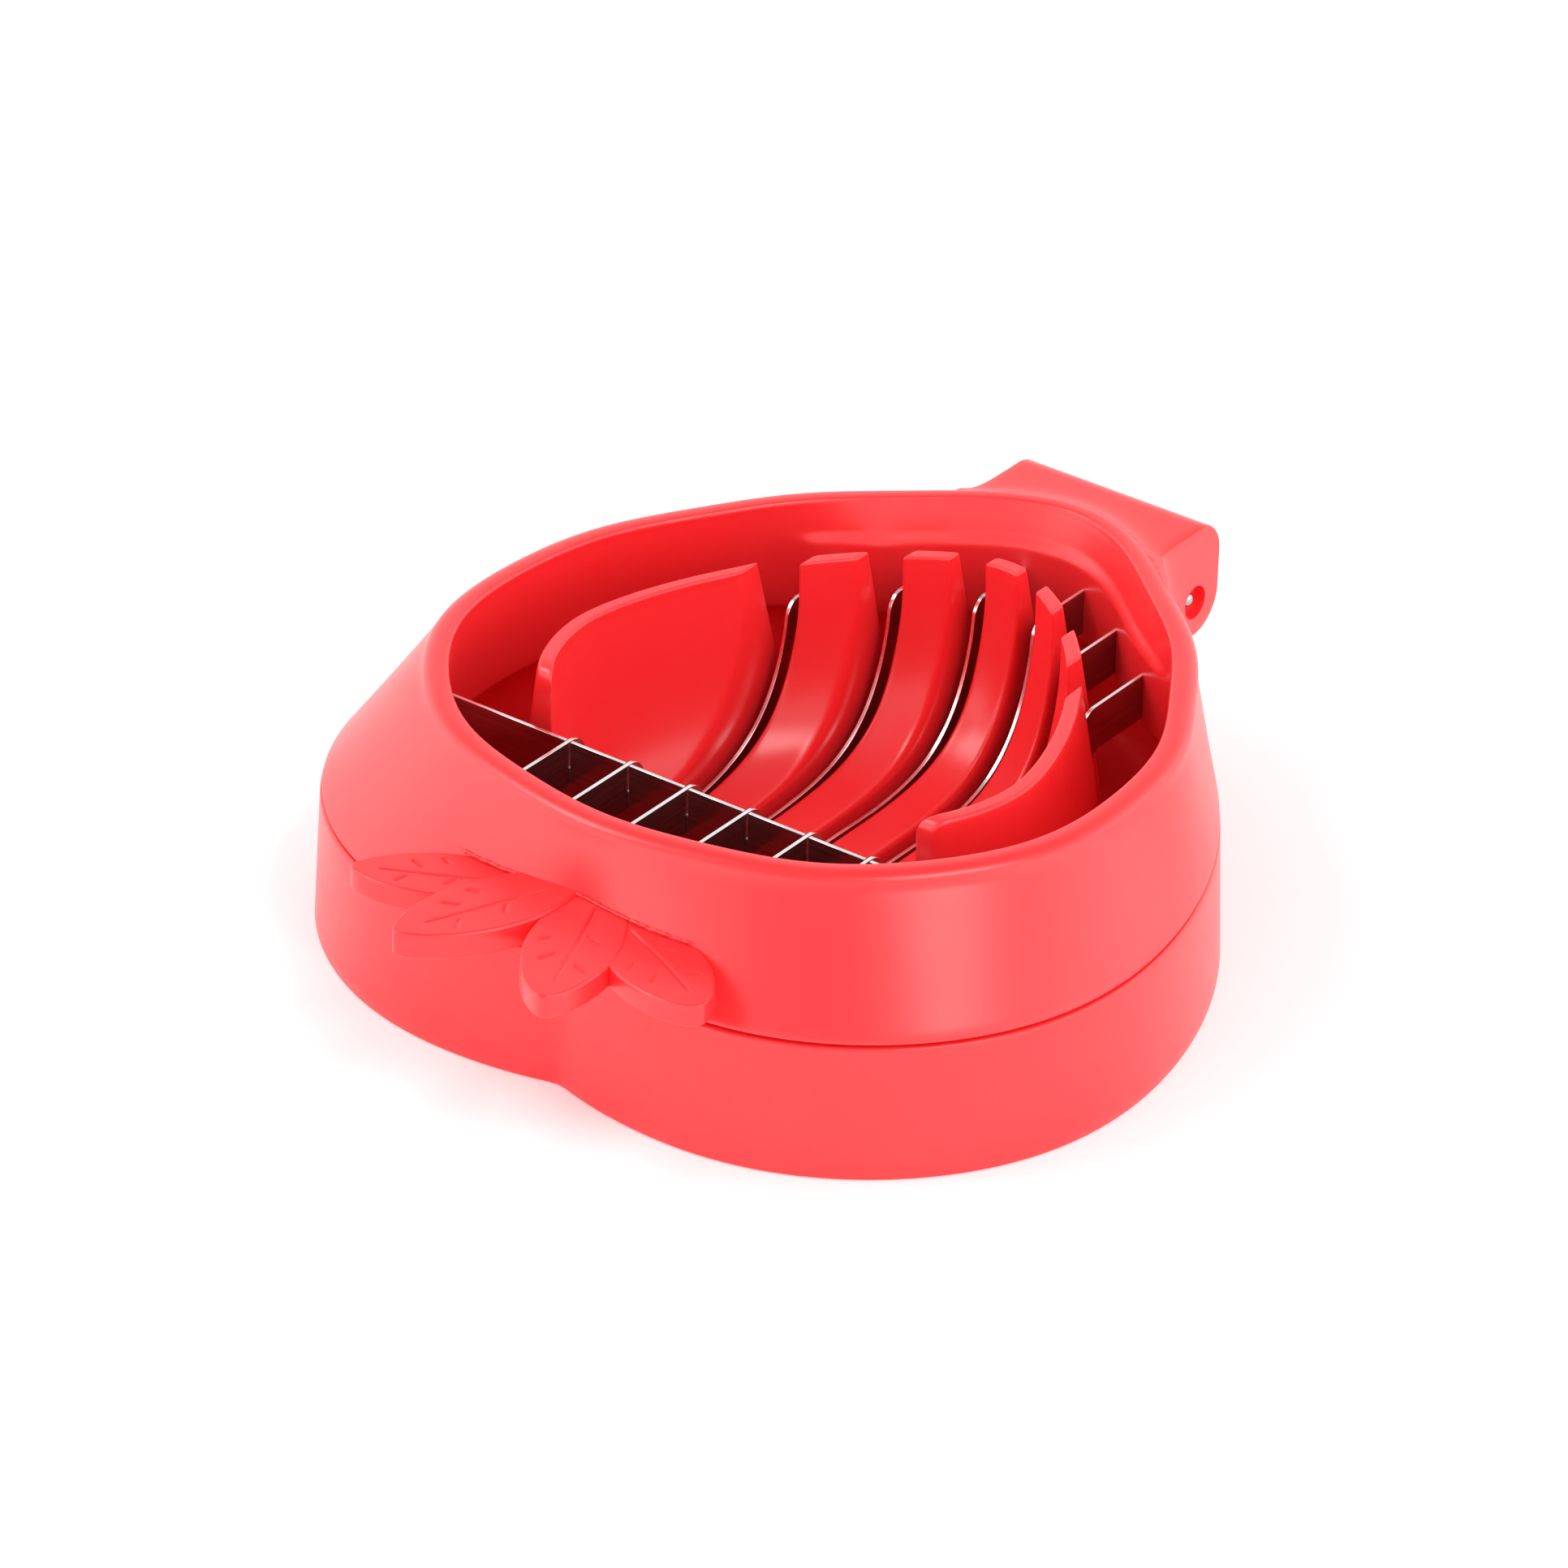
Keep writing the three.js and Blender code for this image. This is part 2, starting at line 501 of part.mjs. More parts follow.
function makeCrossBlade() {
  const low = BLADE_TOP - BLADE_STRIP;
  const lower = [[CROSS_HALF, low], [24, low], [21.5, 11.5], [18.5, 5.5], [14, 2.6], [9, BLADE_LOW + 0.3]];
  const upper = bladePlaces.flatMap((x) => {
    const half = SHEET / 2 + GAP;
    const floor = NOTCH_Z - NOTCH_LAP;
    return [[x - half, BLADE_TOP], [x - half, floor], [x + half, floor], [x + half, BLADE_TOP]];
  });
  const profile = [
    ...lower.map(([x, z]) => [-x, z]),
    ...lower.slice().reverse(),
    [CROSS_HALF, BLADE_TOP],
    ...upper.reverse(),
    [-CROSS_HALF, BLADE_TOP],
  ];
  return alongY(profile, CROSS_Y - SHEET / 2, CROSS_Y + SHEET / 2);
}

// ---- the assembly ----
const group = new THREE.Group();
const baseGroup = new THREE.Group();
const lidGroup = new THREE.Group();
group.add(baseGroup, lidGroup);

function addPiece(parent, name, solid, material) {
  const mesh = new THREE.Mesh(toGeometry(solid), material);
  mesh.name = name;
  parent.add(mesh);
}

addPiece(baseGroup, 'base_shell', makeBaseShell(), plastic(0xf2404a));
const cradle = makeCradle();
for (let k = 0; k <= BLADE_COUNT; k += 1) {
  addPiece(baseGroup, `cradle_rib_${k + 1}`, cradle.intersect(ribSlab(k)), plastic(0xee2f38));
}
addPiece(lidGroup, 'lid_frame', makeLidFrame(), plastic(0xf2404a));
addPiece(lidGroup, 'leaf_crown', makeLeafCrown(), plastic(0xf2404a));
bladePlaces.forEach((x, i) => {
  addPiece(lidGroup, `slicing_blade_${i + 1}`, makeBlade(x), steel(0xc9ccd0));
});
addPiece(lidGroup, 'cross_blade', makeCrossBlade(), steel(0xc9ccd0));
addPiece(lidGroup, 'hinge_pin', rodX(PIN_R, -PIN_HALF, PIN_HALF, 20), steel(0xb9bcc0));

export default group;
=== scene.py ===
import json
import math

import bmesh
import bpy
import numpy as np
from mathutils import Matrix, Vector


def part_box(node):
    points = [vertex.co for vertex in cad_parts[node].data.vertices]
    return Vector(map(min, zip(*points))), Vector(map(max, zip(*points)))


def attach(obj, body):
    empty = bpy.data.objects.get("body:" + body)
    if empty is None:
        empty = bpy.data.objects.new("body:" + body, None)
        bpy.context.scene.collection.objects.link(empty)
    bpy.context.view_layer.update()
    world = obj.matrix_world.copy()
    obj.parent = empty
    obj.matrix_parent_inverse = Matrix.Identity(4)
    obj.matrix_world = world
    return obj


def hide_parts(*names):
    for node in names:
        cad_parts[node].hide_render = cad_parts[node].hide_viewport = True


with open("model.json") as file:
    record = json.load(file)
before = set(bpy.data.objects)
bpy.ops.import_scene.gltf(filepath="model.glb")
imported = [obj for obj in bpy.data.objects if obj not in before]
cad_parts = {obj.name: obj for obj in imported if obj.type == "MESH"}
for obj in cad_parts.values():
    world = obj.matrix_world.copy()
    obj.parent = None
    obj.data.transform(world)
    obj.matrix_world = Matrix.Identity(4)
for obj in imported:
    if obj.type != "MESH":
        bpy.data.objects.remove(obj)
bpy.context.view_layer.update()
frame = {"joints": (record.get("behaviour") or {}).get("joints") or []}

# A strawberry-shaped egg slicer: every visible piece is built again here as a fine mesh in the place
# of its CAD node. Lengths are millimetres up to new_object(), which turns them into metres.

MM = 0.001                          # metres in a millimetre
MERGE = 1e-7                        # points closer than this, in metres, are one point
joint = frame["joints"][0]


def node_box(node):
    low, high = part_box(node)
    return np.array(low) / MM, np.array(high) / MM


# ---- driving dimensions, from the frame where it has them ----
LID_HIGH = node_box("lid_frame")[1]
RIB_LOW, RIB_HIGH = node_box("cradle_rib_4")
CROSS_LOW, CROSS_HIGH = node_box("cross_blade")
LEAF_LOW, LEAF_HIGH = node_box("leaf_crown")
PIN_LOW, PIN_HIGH = node_box("hinge_pin")

# base and lid
BASE_TOP = 13.7
LID_BOTTOM = 14.0
LID_TOP = LID_HIGH[2]
WALL = 2.2                          # the base's wall
FLOOR = 1.2                         # the base's floor
BASE_DRAFT = 0.6                    # the base's outline is this much smaller at its top
CENTRE_Y = -12.0                    # the outlines are drawn about (0, CENTRE_Y)
RIM_WIDTH = 2.3
BLOCK_HALF = 11.1                   # half width of the lid's hinge block
BLOCK_TOP = 25.2
BLOCK_BACK = LID_HIGH[1]
HINGE_Y = joint["pos_m"][1] / MM
HINGE_Z = joint["pos_m"][2] / MM
KNUCKLE_HALF = 7.5
KNUCKLE_R = 3.2
PIN_R = (PIN_HIGH[2] - PIN_LOW[2]) / 2
PIN_ROOM = 0.06                     # clearance round the pin
FAR_BACK = 45.0                     # y of cutters that run out behind the tool

# egg cradle
CRADLE_TOP = RIB_HIGH[2]
CRADLE_BOTTOM = RIB_LOW[2]
CRADLE_FRONT = RIB_LOW[1]
CRADLE_WALL = 1.5
BOWL_DEPTH = 20.6
BOWL_Y = -15.5                      # the bowl is widest here
BOWL_A = 24.9                       # half axes of its top outline: sideways, back and front
BOWL_BACK = 33.5
BOWL_FRONT = 20.5
DEPTH_POWER = 2.2                   # shape of the bowl from its top to its bottom
SIDE_POWER = 6.8
BACK_POWER = 1.55                   # shape of the outline behind BOWL_Y
FLARE_SIDE = 0.1                    # how fast the outer face spreads downwards
FLARE_BACK = 0.25
RIB_TOP_HALF = 1.85
RIB_BOTTOM_HALF = 2.4
KEEL = 1.5                          # rounds the bowl over its middle line
LIP = 0.3                           # the rib tops are this much thicker than the wall below
LIP_HEIGHT = 6.0
LOW_SHARE = 0.55                    # share of a rib's stations below TURN_HEIGHT
TURN_HEIGHT = 9.0
STEPS = 400                         # points in a sampled profile

# blades and leaves
PITCH = 7.0
BLADES = [(i - 2.5) * PITCH for i in range(6)]
SHEET = CROSS_HIGH[1] - CROSS_LOW[1]
BLADE_TOP = CROSS_HIGH[2]
BLADE_STRIP = 4.8                   # height of the blades' straight strip
BLADE_LOW = 1.6
CROSS_Y = (CROSS_HIGH[1] + CROSS_LOW[1]) / 2
CROSS_HALF = CROSS_HIGH[0]
NOTCH_Z = 16.85                     # the blades are half-lapped at this height
NOTCH_GAP = SHEET / 2 + 0.12
EDGE_SIDE = 2.3                     # the blades' hollow edge is a bowl this much wider,
EDGE_REAR = 1.0                     # this much longer behind,
EDGE_BACK = 0.3                     # this much further back
EDGE_DROP = 0.9                     # and this much lower than the cradle's
LEAF_TOP = LEAF_HIGH[2]
LEAF_THICK = LEAF_HIGH[2] - LEAF_LOW[2]


# ---- plan outlines, as radii about (0, CENTRE_Y) against the turn from the leaf end ----
HEART_HALF = [
    (0, -52.1), (3.7, -52.9), (8.8, -53.8), (14.5, -53.9), (22, -52.4), (30.4, -48.4),
    (37, -42.4), (42, -33.8), (43.85, -22), (42.9, -12.5), (40.3, -5), (34.8, 5.8),
    (26.1, 16.6), (16.8, 26.4), (9.4, 32.4), (0, 34.8),
]
RIM_HALF = [
    (0, -44.9), (5, -44.6), (9.7, -43.7), (18.9, -40.5), (26.6, -34.8), (32, -26.8), (34.4, -16.5),
    (33.5, -8), (30.8, 0.3), (27.5, 6), (23.7, 11.4), (18, 18), (10.6, 24), (6, 27.1), (2.6, 28.6),
    (0, 28.95),
]
NOTCH_WIDTH = 0.13


def fit_outline(half, harmonics, notch):
    """Cosine series through the half outline, with one more term for the notch at the leaf end."""
    points = np.array(half, float)
    turn = np.arctan2(points[:, 0], CENTRE_Y - points[:, 1])
    radius = np.hypot(points[:, 0], points[:, 1] - CENTRE_Y)
    terms = [np.cos(k * turn) for k in range(harmonics)]
    if notch:
        terms.append(np.exp(-turn / NOTCH_WIDTH))
    return np.linalg.lstsq(np.array(terms).T, radius, rcond=None)[0]


HEART = fit_outline(HEART_HALF, 10, True)
RIM = fit_outline(RIM_HALF, 11, False)


def rim_radius(turn):
    return sum(c * np.cos(k * turn) for k, c in enumerate(RIM))


def heart_radius(turn, notch_soft=0.02, notch_keep=1.0):
    """The base's outline; the notch is rounded by notch_soft and scaled by notch_keep."""
    turn = np.abs((turn + np.pi) % (2 * np.pi) - np.pi)
    smooth = sum(c * np.cos(k * turn) for k, c in enumerate(HEART[:-1]))
    distance = np.sqrt(turn ** 2 + notch_soft ** 2) - notch_soft
    return smooth + HEART[-1] * notch_keep * np.exp(-distance / NOTCH_WIDTH)


def smoothstep(value, low, high):
    t = np.clip((value - low) / (high - low), 0, 1)
    return t * t * (3 - 2 * t)


def place(radius, turn, z):
    """Points at a radius and turn about (0, CENTRE_Y)."""
    radius, turn = np.broadcast_arrays(radius, turn)
    return np.stack([radius * np.sin(turn), CENTRE_Y - radius * np.cos(turn),
                     np.full(radius.shape, float(z)) if np.isscalar(z) else z], axis=-1)


def lid_outer(turn, z):
    """The lid's sloping wall: the heart at its foot, the plain rim at its top, the notch fading last."""
    t = np.clip((z - LID_BOTTOM) / (LID_TOP - 0.6 - LID_BOTTOM), 0, 1)
    notch_soft, notch_keep = 0.03 + 0.07 * t, (1 - t) * (1 + 3 * t)
    heart = heart_radius(turn, notch_soft, notch_keep) - BASE_DRAFT
    return heart + (rim_radius(turn) + RIM_WIDTH - heart) * t


BAND_PROUD = 1.9                     # the band that holds the blades' ends
BAND_END = math.radians(43)          # its half angle, from the hinge end
BAND_FADE = math.radians(7)
BAND_STEP_LOW, BAND_STEP_HIGH = 21.5, 22.9
LEAN_FULL, LEAN_NONE = math.radians(24), math.radians(50)
LEAN_FOOT, LEAN_HEIGHT = 22.4, 3.4
STEP_SHARE, LEAN_SHARE = 0.32, 0.68  # how much of the band is a step and how much a lean
INNER_DRAFT = 0.1


def lid_inner(turn, z):
    """The lid's inner face: a slight draft, and the blade band round the hinge end."""
    from_hinge = np.abs((turn % (2 * np.pi)) - np.pi)
    step_along = 1 - smoothstep(from_hinge, BAND_END - BAND_FADE, BAND_END)
    lean_along = 1 - smoothstep(from_hinge, LEAN_FULL, LEAN_NONE)
    lean = LEAN_SHARE * lean_along * (1 - np.clip((z - LEAN_FOOT) / LEAN_HEIGHT, 0, 1))
    step = STEP_SHARE * step_along * (1 - smoothstep(z, BAND_STEP_LOW, BAND_STEP_HIGH))
    draft = INNER_DRAFT * (LID_TOP - z) * (1 - lean_along)
    return rim_radius(turn) + draft - BAND_PROUD * (lean + step)


# ---- mesh helpers ----
def new_object(name, vertices, faces):
    mesh = bpy.data.meshes.new(name)
    mesh.from_pydata([tuple(v) for v in np.asarray(vertices) * MM], [], faces)
    work = bmesh.new()
    work.from_mesh(mesh)
    bmesh.ops.remove_doubles(work, verts=work.verts, dist=MERGE)
    bmesh.ops.recalc_face_normals(work, faces=work.faces)
    work.to_mesh(mesh)
    work.free()
    obj = bpy.data.objects.new(name, mesh)
    bpy.context.scene.collection.objects.link(obj)
    return obj


def grid_faces(rows, cols, wrap_rows, wrap_cols, start=0):
    """Quads over a grid of points that are numbered row by row from start."""
    faces = []
    for j in range(rows if wrap_rows else rows - 1):
        for i in range(cols if wrap_cols else cols - 1):
            k, m = (j + 1) % rows, (i + 1) % cols
            faces.append((start + j * cols + i, start + j * cols + m,
                          start + k * cols + m, start + k * cols + i))
    return faces


def loft(name, grid, wrap=False):
    """Closed loops as rows; capped at both ends unless the last row joins the first."""
    grid = np.asarray(grid, float)
    rows, cols = grid.shape[:2]
    faces = grid_faces(rows, cols, wrap, True)
    if not wrap:
        faces.append(tuple(range(cols))[::-1])
        faces.append(tuple((rows - 1) * cols + i for i in range(cols)))
    return new_object(name, grid.reshape(-1, 3), faces)


def bake(obj):
    """Applies an object's modifiers to its mesh."""
    bpy.context.view_layer.update()
    graph = bpy.context.evaluated_depsgraph_get()
    mesh = bpy.data.meshes.new_from_object(obj.evaluated_get(graph))
    obj.modifiers.clear()
    obj.data = mesh
    return obj


def boolean(obj, cutter, operation):
    """Joins or cuts with the exact solver, and removes the cutter."""
    for item in (obj, cutter):
        work = bmesh.new()
        work.from_mesh(item.data)
        bmesh.ops.triangulate(work, faces=[face for face in work.faces if len(face.verts) > 4])
        work.to_mesh(item.data)
        work.free()
    modifier = obj.modifiers.new("boolean", "BOOLEAN")
    modifier.operation = operation
    modifier.solver = "EXACT"
    modifier.object = cutter
    bake(obj)
    bpy.data.objects.remove(cutter)
    return obj


def prism(name, profile, low, high, axis="X"):
    """A profile pushed along X (profile in y, z) or along Y (profile in x, z)."""
    count = len(profile)
    vertices = []
    for value in (low, high):
        for a, b in profile:
            vertices.append((value, a, b) if axis == "X" else (a, value, b))
    faces = [tuple(range(count)), tuple(range(count, 2 * count))[::-1]]
    faces += [(i, (i + 1) % count, count + (i + 1) % count, count + i) for i in range(count)]
    return new_object(name, vertices, faces)


def rounded(radius, degrees):
    """(sine, cosine) of an angle, times the radius of a rounding."""
    return radius * math.sin(math.radians(degrees)), radius * math.cos(math.radians(degrees))


def arc(y, z, radius, start, end, steps):
    angles = np.radians(np.linspace(start, end, steps + 1))
    return [(y + radius * math.cos(a), z + radius * math.sin(a)) for a in angles]


def rod(name, radius, x0, x1, dome=0.0, sides=64):
    """A rod on the hinge line, with flat or domed ends."""
    rings = [(radius, x0), (radius, x1)]
    if dome:
        bend = np.radians([80, 60, 40, 20, 0])
        end = [(radius * math.cos(a), dome * (1 - math.sin(a))) for a in bend]
        rings = [(r, x0 + d) for r, d in end] + [(r, x1 - d) for r, d in end[::-1]]
    turn = np.linspace(0, 2 * np.pi, sides, endpoint=False)
    grid = [np.stack([np.full(sides, x), HINGE_Y + r * np.cos(turn), HINGE_Z + r * np.sin(turn)],
                     axis=-1) for r, x in rings]
    return loft(name, grid)


def soften(obj, width, segments=3, angle=35):
    """Rounds the edges sharper than an angle."""
    bevel = obj.modifiers.new("edges", "BEVEL")
    bevel.width = width * MM
    bevel.segments = segments
    bevel.limit_method = "ANGLE"
    bevel.angle_limit = math.radians(angle)


# ---- materials ----
def link(tree, a, out, b, socket):
    tree.links.new(a.outputs[out], b.inputs[socket])


def add_node(tree, kind, **values):
    item = tree.nodes.new(kind)
    for key, value in values.items():
        if key in item.inputs:
            item.inputs[key].default_value = value
        else:
            setattr(item, key, value)
    return item


def ramp(tree, low, high, colour_low, colour_high):
    item = tree.nodes.new("ShaderNodeValToRGB")
    item.color_ramp.elements[0].position = low
    item.color_ramp.elements[0].color = colour_low
    item.color_ramp.elements[1].position = high
    item.color_ramp.elements[1].color = colour_high
    return item


def new_material(name):
    material = bpy.data.materials.new(name)
    material.use_nodes = True
    tree = material.node_tree
    return material, tree, tree.nodes["Principled BSDF"]


def plastic_material(name, deep, bright):
    """Moulded satin plastic: faint colour drift, uneven polish and a fine orange peel."""
    material, tree, shader = new_material(name)
    coordinates = add_node(tree, "ShaderNodeTexCoord")
    drift = add_node(tree, "ShaderNodeTexNoise", Scale=60.0, Detail=3.0, Roughness=0.5)
    tint = ramp(tree, 0.3, 0.7, deep, bright)
    link(tree, coordinates, "Object", drift, "Vector")
    link(tree, drift, "Fac", tint, "Fac")
    link(tree, tint, "Color", shader, "Base Color")

    polish = add_node(tree, "ShaderNodeTexNoise", Scale=220.0, Detail=4.0, Roughness=0.6)
    polish_range = add_node(tree, "ShaderNodeMapRange")
    polish_range.inputs["To Min"].default_value = 0.26
    polish_range.inputs["To Max"].default_value = 0.35
    link(tree, coordinates, "Object", polish, "Vector")
    link(tree, polish, "Fac", polish_range, "Value")
    link(tree, polish_range, "Result", shader, "Roughness")

    peel = add_node(tree, "ShaderNodeTexNoise", Scale=1500.0, Detail=2.0, Roughness=0.5)
    bump = add_node(tree, "ShaderNodeBump", Strength=0.04, Distance=0.00006)
    link(tree, coordinates, "Object", peel, "Vector")
    link(tree, peel, "Fac", bump, "Height")
    link(tree, bump, "Normal", shader, "Normal")

    shader.inputs["IOR"].default_value = 1.6
    shader.inputs["Subsurface Weight"].default_value = 0.3
    shader.inputs["Subsurface Radius"].default_value = (0.003, 0.0004, 0.0004)
    shader.inputs["Subsurface Scale"].default_value = 1.0
    return material


def steel_material(name, along, dark_tone, light_tone):
    """Ground stainless sheet: long fine grinding lines along one axis."""
    material, tree, shader = new_material(name)
    coordinates = add_node(tree, "ShaderNodeTexCoord")
    stretch = add_node(tree, "ShaderNodeMapping")
    stretch.inputs["Scale"].default_value = along
    grind = add_node(tree, "ShaderNodeTexNoise", Scale=1.0, Detail=5.0, Roughness=0.65)
    link(tree, coordinates, "Object", stretch, "Vector")
    link(tree, stretch, "Vector", grind, "Vector")

    tint = ramp(tree, 0.3, 0.7, (dark_tone, dark_tone, dark_tone, 1), (light_tone, light_tone, light_tone, 1))
    link(tree, grind, "Fac", tint, "Fac")
    link(tree, tint, "Color", shader, "Base Color")
    rough = add_node(tree, "ShaderNodeMapRange")
    rough.inputs["To Min"].default_value = 0.14
    rough.inputs["To Max"].default_value = 0.3
    link(tree, grind, "Fac", rough, "Value")
    link(tree, rough, "Result", shader, "Roughness")
    bump = add_node(tree, "ShaderNodeBump", Strength=0.12, Distance=0.00003)
    link(tree, grind, "Fac", bump, "Height")
    link(tree, bump, "Normal", shader, "Normal")
    shader.inputs["Metallic"].default_value = 1.0
    return material


RED = plastic_material("red_plastic", (0.90, 0.022, 0.028, 1), (0.93, 0.028, 0.034, 1))
# The blades' faces are darkened steel, painted shade that stands for the dark red surroundings they
# reflect. The edge steel is near white, a painted highlight on the ground edges. The streaks within each
# tone are grinding grain.
BLADE_STEEL = steel_material("blade_steel", (4000, 60, 4000), 0.36, 0.48)
CROSS_STEEL = steel_material("cross_blade_steel", (60, 4000, 4000), 0.36, 0.48)
PAINTED_HIGHLIGHT_STEEL = steel_material("blade_edge_painted_highlight", (900, 900, 900), 0.88, 0.97)
PIN_STEEL = steel_material("pin_steel", (300, 5000, 5000), 0.4, 0.55)


def paint_edge_highlight(blade, sheet_axis):
    """Paints a highlight on a blade's edges: faces not flat on the sheet get the near-white steel, which
    stands for light caught by the ground edges.
    """
    blade.data.materials.append(PAINTED_HIGHLIGHT_STEEL)
    for face in blade.data.polygons:
        face.material_index = 0 if abs(face.normal[sheet_axis]) > 0.9 else 1


def add_piece(obj, body, nodes, material, crease=35):
    obj.data.materials.clear()
    obj.data.materials.append(material)
    obj.data.shade_smooth()
    obj.data.set_sharp_from_angle(angle=math.radians(crease))
    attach(obj, body)
    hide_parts(*nodes)
    return obj


# ---- base ----
FOOT_ROUND = [(0, 0.25), (0.07, 0.1), (0.25, 0)]    # height and inset
BASE_OUTER_R, BASE_INNER_R = 0.35, 0.3              # roundings of the wall's top
CORNER_R = 2.0                                      # rounding between the floor and the wall
INNER_SLOPE = 0.03
ROOM_FRONT = 28.6                                   # y where the opening for the lid's block starts
ROOM_DROP = 4.4                                     # its floor, below the hinge line
KNUCKLE_BACK = 34.3


def base_shell():
    """Wall and floor as one loft, with the room for the lid's block and the hinge knuckle."""
    turn = np.linspace(0, 2 * np.pi, 288, endpoint=False)

    def loop(z, inset):
        return place(heart_radius(turn) - BASE_DRAFT * z / BASE_TOP - inset, turn, z)

    rows = [loop(z, inset) for z, inset in FOOT_ROUND]
    rows += [loop(z, 0) for z in np.linspace(1.5, BASE_TOP - 0.45, 8)]
    for a in (30, 60, 90):
        s, c = rounded(BASE_OUTER_R, a)
        rows.append(loop(BASE_TOP - BASE_OUTER_R + s, BASE_OUTER_R - c))
    inner = WALL - 0.2
    for a in (90, 60, 30, 0):
        s, _ = rounded(BASE_INNER_R, a)
        rows.append(loop(BASE_TOP - BASE_INNER_R + s, inner - s + 0.02 * (90 - a) / 90))
    low = FLOOR + CORNER_R
    rows += [loop(z, inner + INNER_SLOPE * (BASE_TOP - z)) for z in np.linspace(12.5, low, 6)]
    for a in np.linspace(15, 90, 6):
        s, c = rounded(CORNER_R, a)
        rows.append(loop(low - s, inner + 0.35 + CORNER_R - c))
    rows.append(loop(FLOOR, inner + 9))                 # the loft's cap closes the floor inside this
    shell = loft("base_shell_body", rows)

    low = HINGE_Z - ROOM_DROP
    room = [(ROOM_FRONT, low), (FAR_BACK, low), (FAR_BACK, 20), (ROOM_FRONT, 20)]
    boolean(shell, prism("room", room, -BLOCK_HALF - 0.4, BLOCK_HALF + 0.4), "DIFFERENCE")
    knuckle = prism("knuckle", [(HINGE_Y - KNUCKLE_R, 8), (KNUCKLE_BACK, 8), (KNUCKLE_BACK, 12)]
                    + arc(HINGE_Y, HINGE_Z, KNUCKLE_R, -45, 180, 48), -KNUCKLE_HALF, KNUCKLE_HALF)
    soften(knuckle, 0.3)
    bake(knuckle)
    boolean(shell, knuckle, "UNION")
    hole = rod("hole", PIN_R + PIN_ROOM, -KNUCKLE_HALF - 1, KNUCKLE_HALF + 1)
    boolean(shell, hole, "DIFFERENCE")
    return add_piece(shell, "base", ["base_shell"], RED)


# ---- egg cradle ----
def bowl_scale(f):
    """Size of the bowl's outline at a share f of its depth."""
    return np.maximum(1 - np.clip(f, 0, 1) ** DEPTH_POWER, 1e-6) ** (1 / SIDE_POWER)


def level(z):
    """Half axes (sideways, back, front) of the bowl's plan outline at height z."""
    scale = bowl_scale((CRADLE_TOP - z) / BOWL_DEPTH)
    return BOWL_A * scale, BOWL_BACK * scale, BOWL_FRONT * scale


def outer_level(z):
    """The same half axes for the cradle's outer face."""
    drop = CRADLE_TOP - z
    return (BOWL_A + CRADLE_WALL + FLARE_SIDE * drop, BOWL_BACK + CRADLE_WALL + FLARE_BACK * drop,
            BOWL_FRONT + CRADLE_WALL + FLARE_BACK * drop)


def back_y(axes, x):
    """y of the back of a plan outline at x."""
    a, back, _ = axes
    across = np.clip(np.sqrt(x ** 2 + KEEL ** 2) / a, 0, 1)
    return BOWL_Y + back * (1 - across ** BACK_POWER) ** (1 / BACK_POWER)


def side_x(axes, y):
    """Half width of a plan outline at y."""
    a, back, front = axes
    behind = y >= BOWL_Y
    along = np.clip(np.abs(y - BOWL_Y) / np.where(behind, back, front), 0, 1)
    square = (a * (1 - along ** BACK_POWER) ** (1 / BACK_POWER)) ** 2 - KEEL ** 2
    widest = np.sqrt(a ** 2 - KEEL ** 2)
    return np.where(behind, np.sqrt(np.maximum(square, 0)), widest * np.sqrt(1 - along ** 2))


def resample(points, count):
    """Evenly spaced points along a polyline."""
    points = np.asarray(points, float)
    run = np.concatenate([[0], np.cumsum(np.hypot(*np.diff(points, axis=0).T))])
    want = np.linspace(0, run[-1], count)
    return np.stack([np.interp(want, run, points[:, k]) for k in range(2)], axis=-1)


def bowl_chain(x, count):
    """The bowl's profile in a plane of constant x, from the open front to the rib's top."""
    f = np.concatenate([np.linspace(0, 0.9, 60), np.linspace(0.905, 1, 60)])
    z = CRADLE_TOP - BOWL_DEPTH * f
    a, back, front = level(z)
    keep = a > abs(x)
    z, a, back, front = z[keep], a[keep], back[keep], front[keep]
    y_front = BOWL_Y - front * np.sqrt(1 - (x / a) ** 2)
    y_back = back_y((a, back, front), x)
    line = [(y, h) for y, h in zip(y_front, z) if y > CRADLE_FRONT]
    first = np.interp(CRADLE_FRONT, y_front, z)
    line = [(CRADLE_FRONT, first)] + line + [(y, h) for y, h in zip(y_back[::-1], z[::-1])]
    line = np.array(line)
    turn_at = len(line) - 1 - np.argmax(line[::-1, 1] < TURN_HEIGHT)
    split = int(count * LOW_SHARE)
    lower = resample(line[:turn_at + 1], split + 1)
    upper = resample(line[turn_at:], count - split)
    chain = np.concatenate([lower, upper[1:]])
    chain[:, 0] -= LIP * smoothstep(chain[:, 1], CRADLE_TOP - LIP_HEIGHT, CRADLE_TOP)
    return chain


def outer_chain(x, count):
    """The cradle's underside and outer face in the same plane."""
    split = int(count * LOW_SHARE)
    bottom = back_y(outer_level(CRADLE_BOTTOM), x)
    lower = np.stack([np.linspace(CRADLE_FRONT, bottom, split + 1),
                      np.full(split + 1, CRADLE_BOTTOM)], axis=-1)
    z = np.linspace(CRADLE_BOTTOM, CRADLE_TOP, count - split)
    upper = np.stack([back_y(outer_level(z), x), z], axis=-1)
    return np.concatenate([lower, upper[1:]])


def rib_half(z):
    """Half width of a rib at height z."""
    t = z / (CRADLE_TOP + 2)
    return RIB_BOTTOM_HALF + (RIB_TOP_HALF - RIB_BOTTOM_HALF) * t


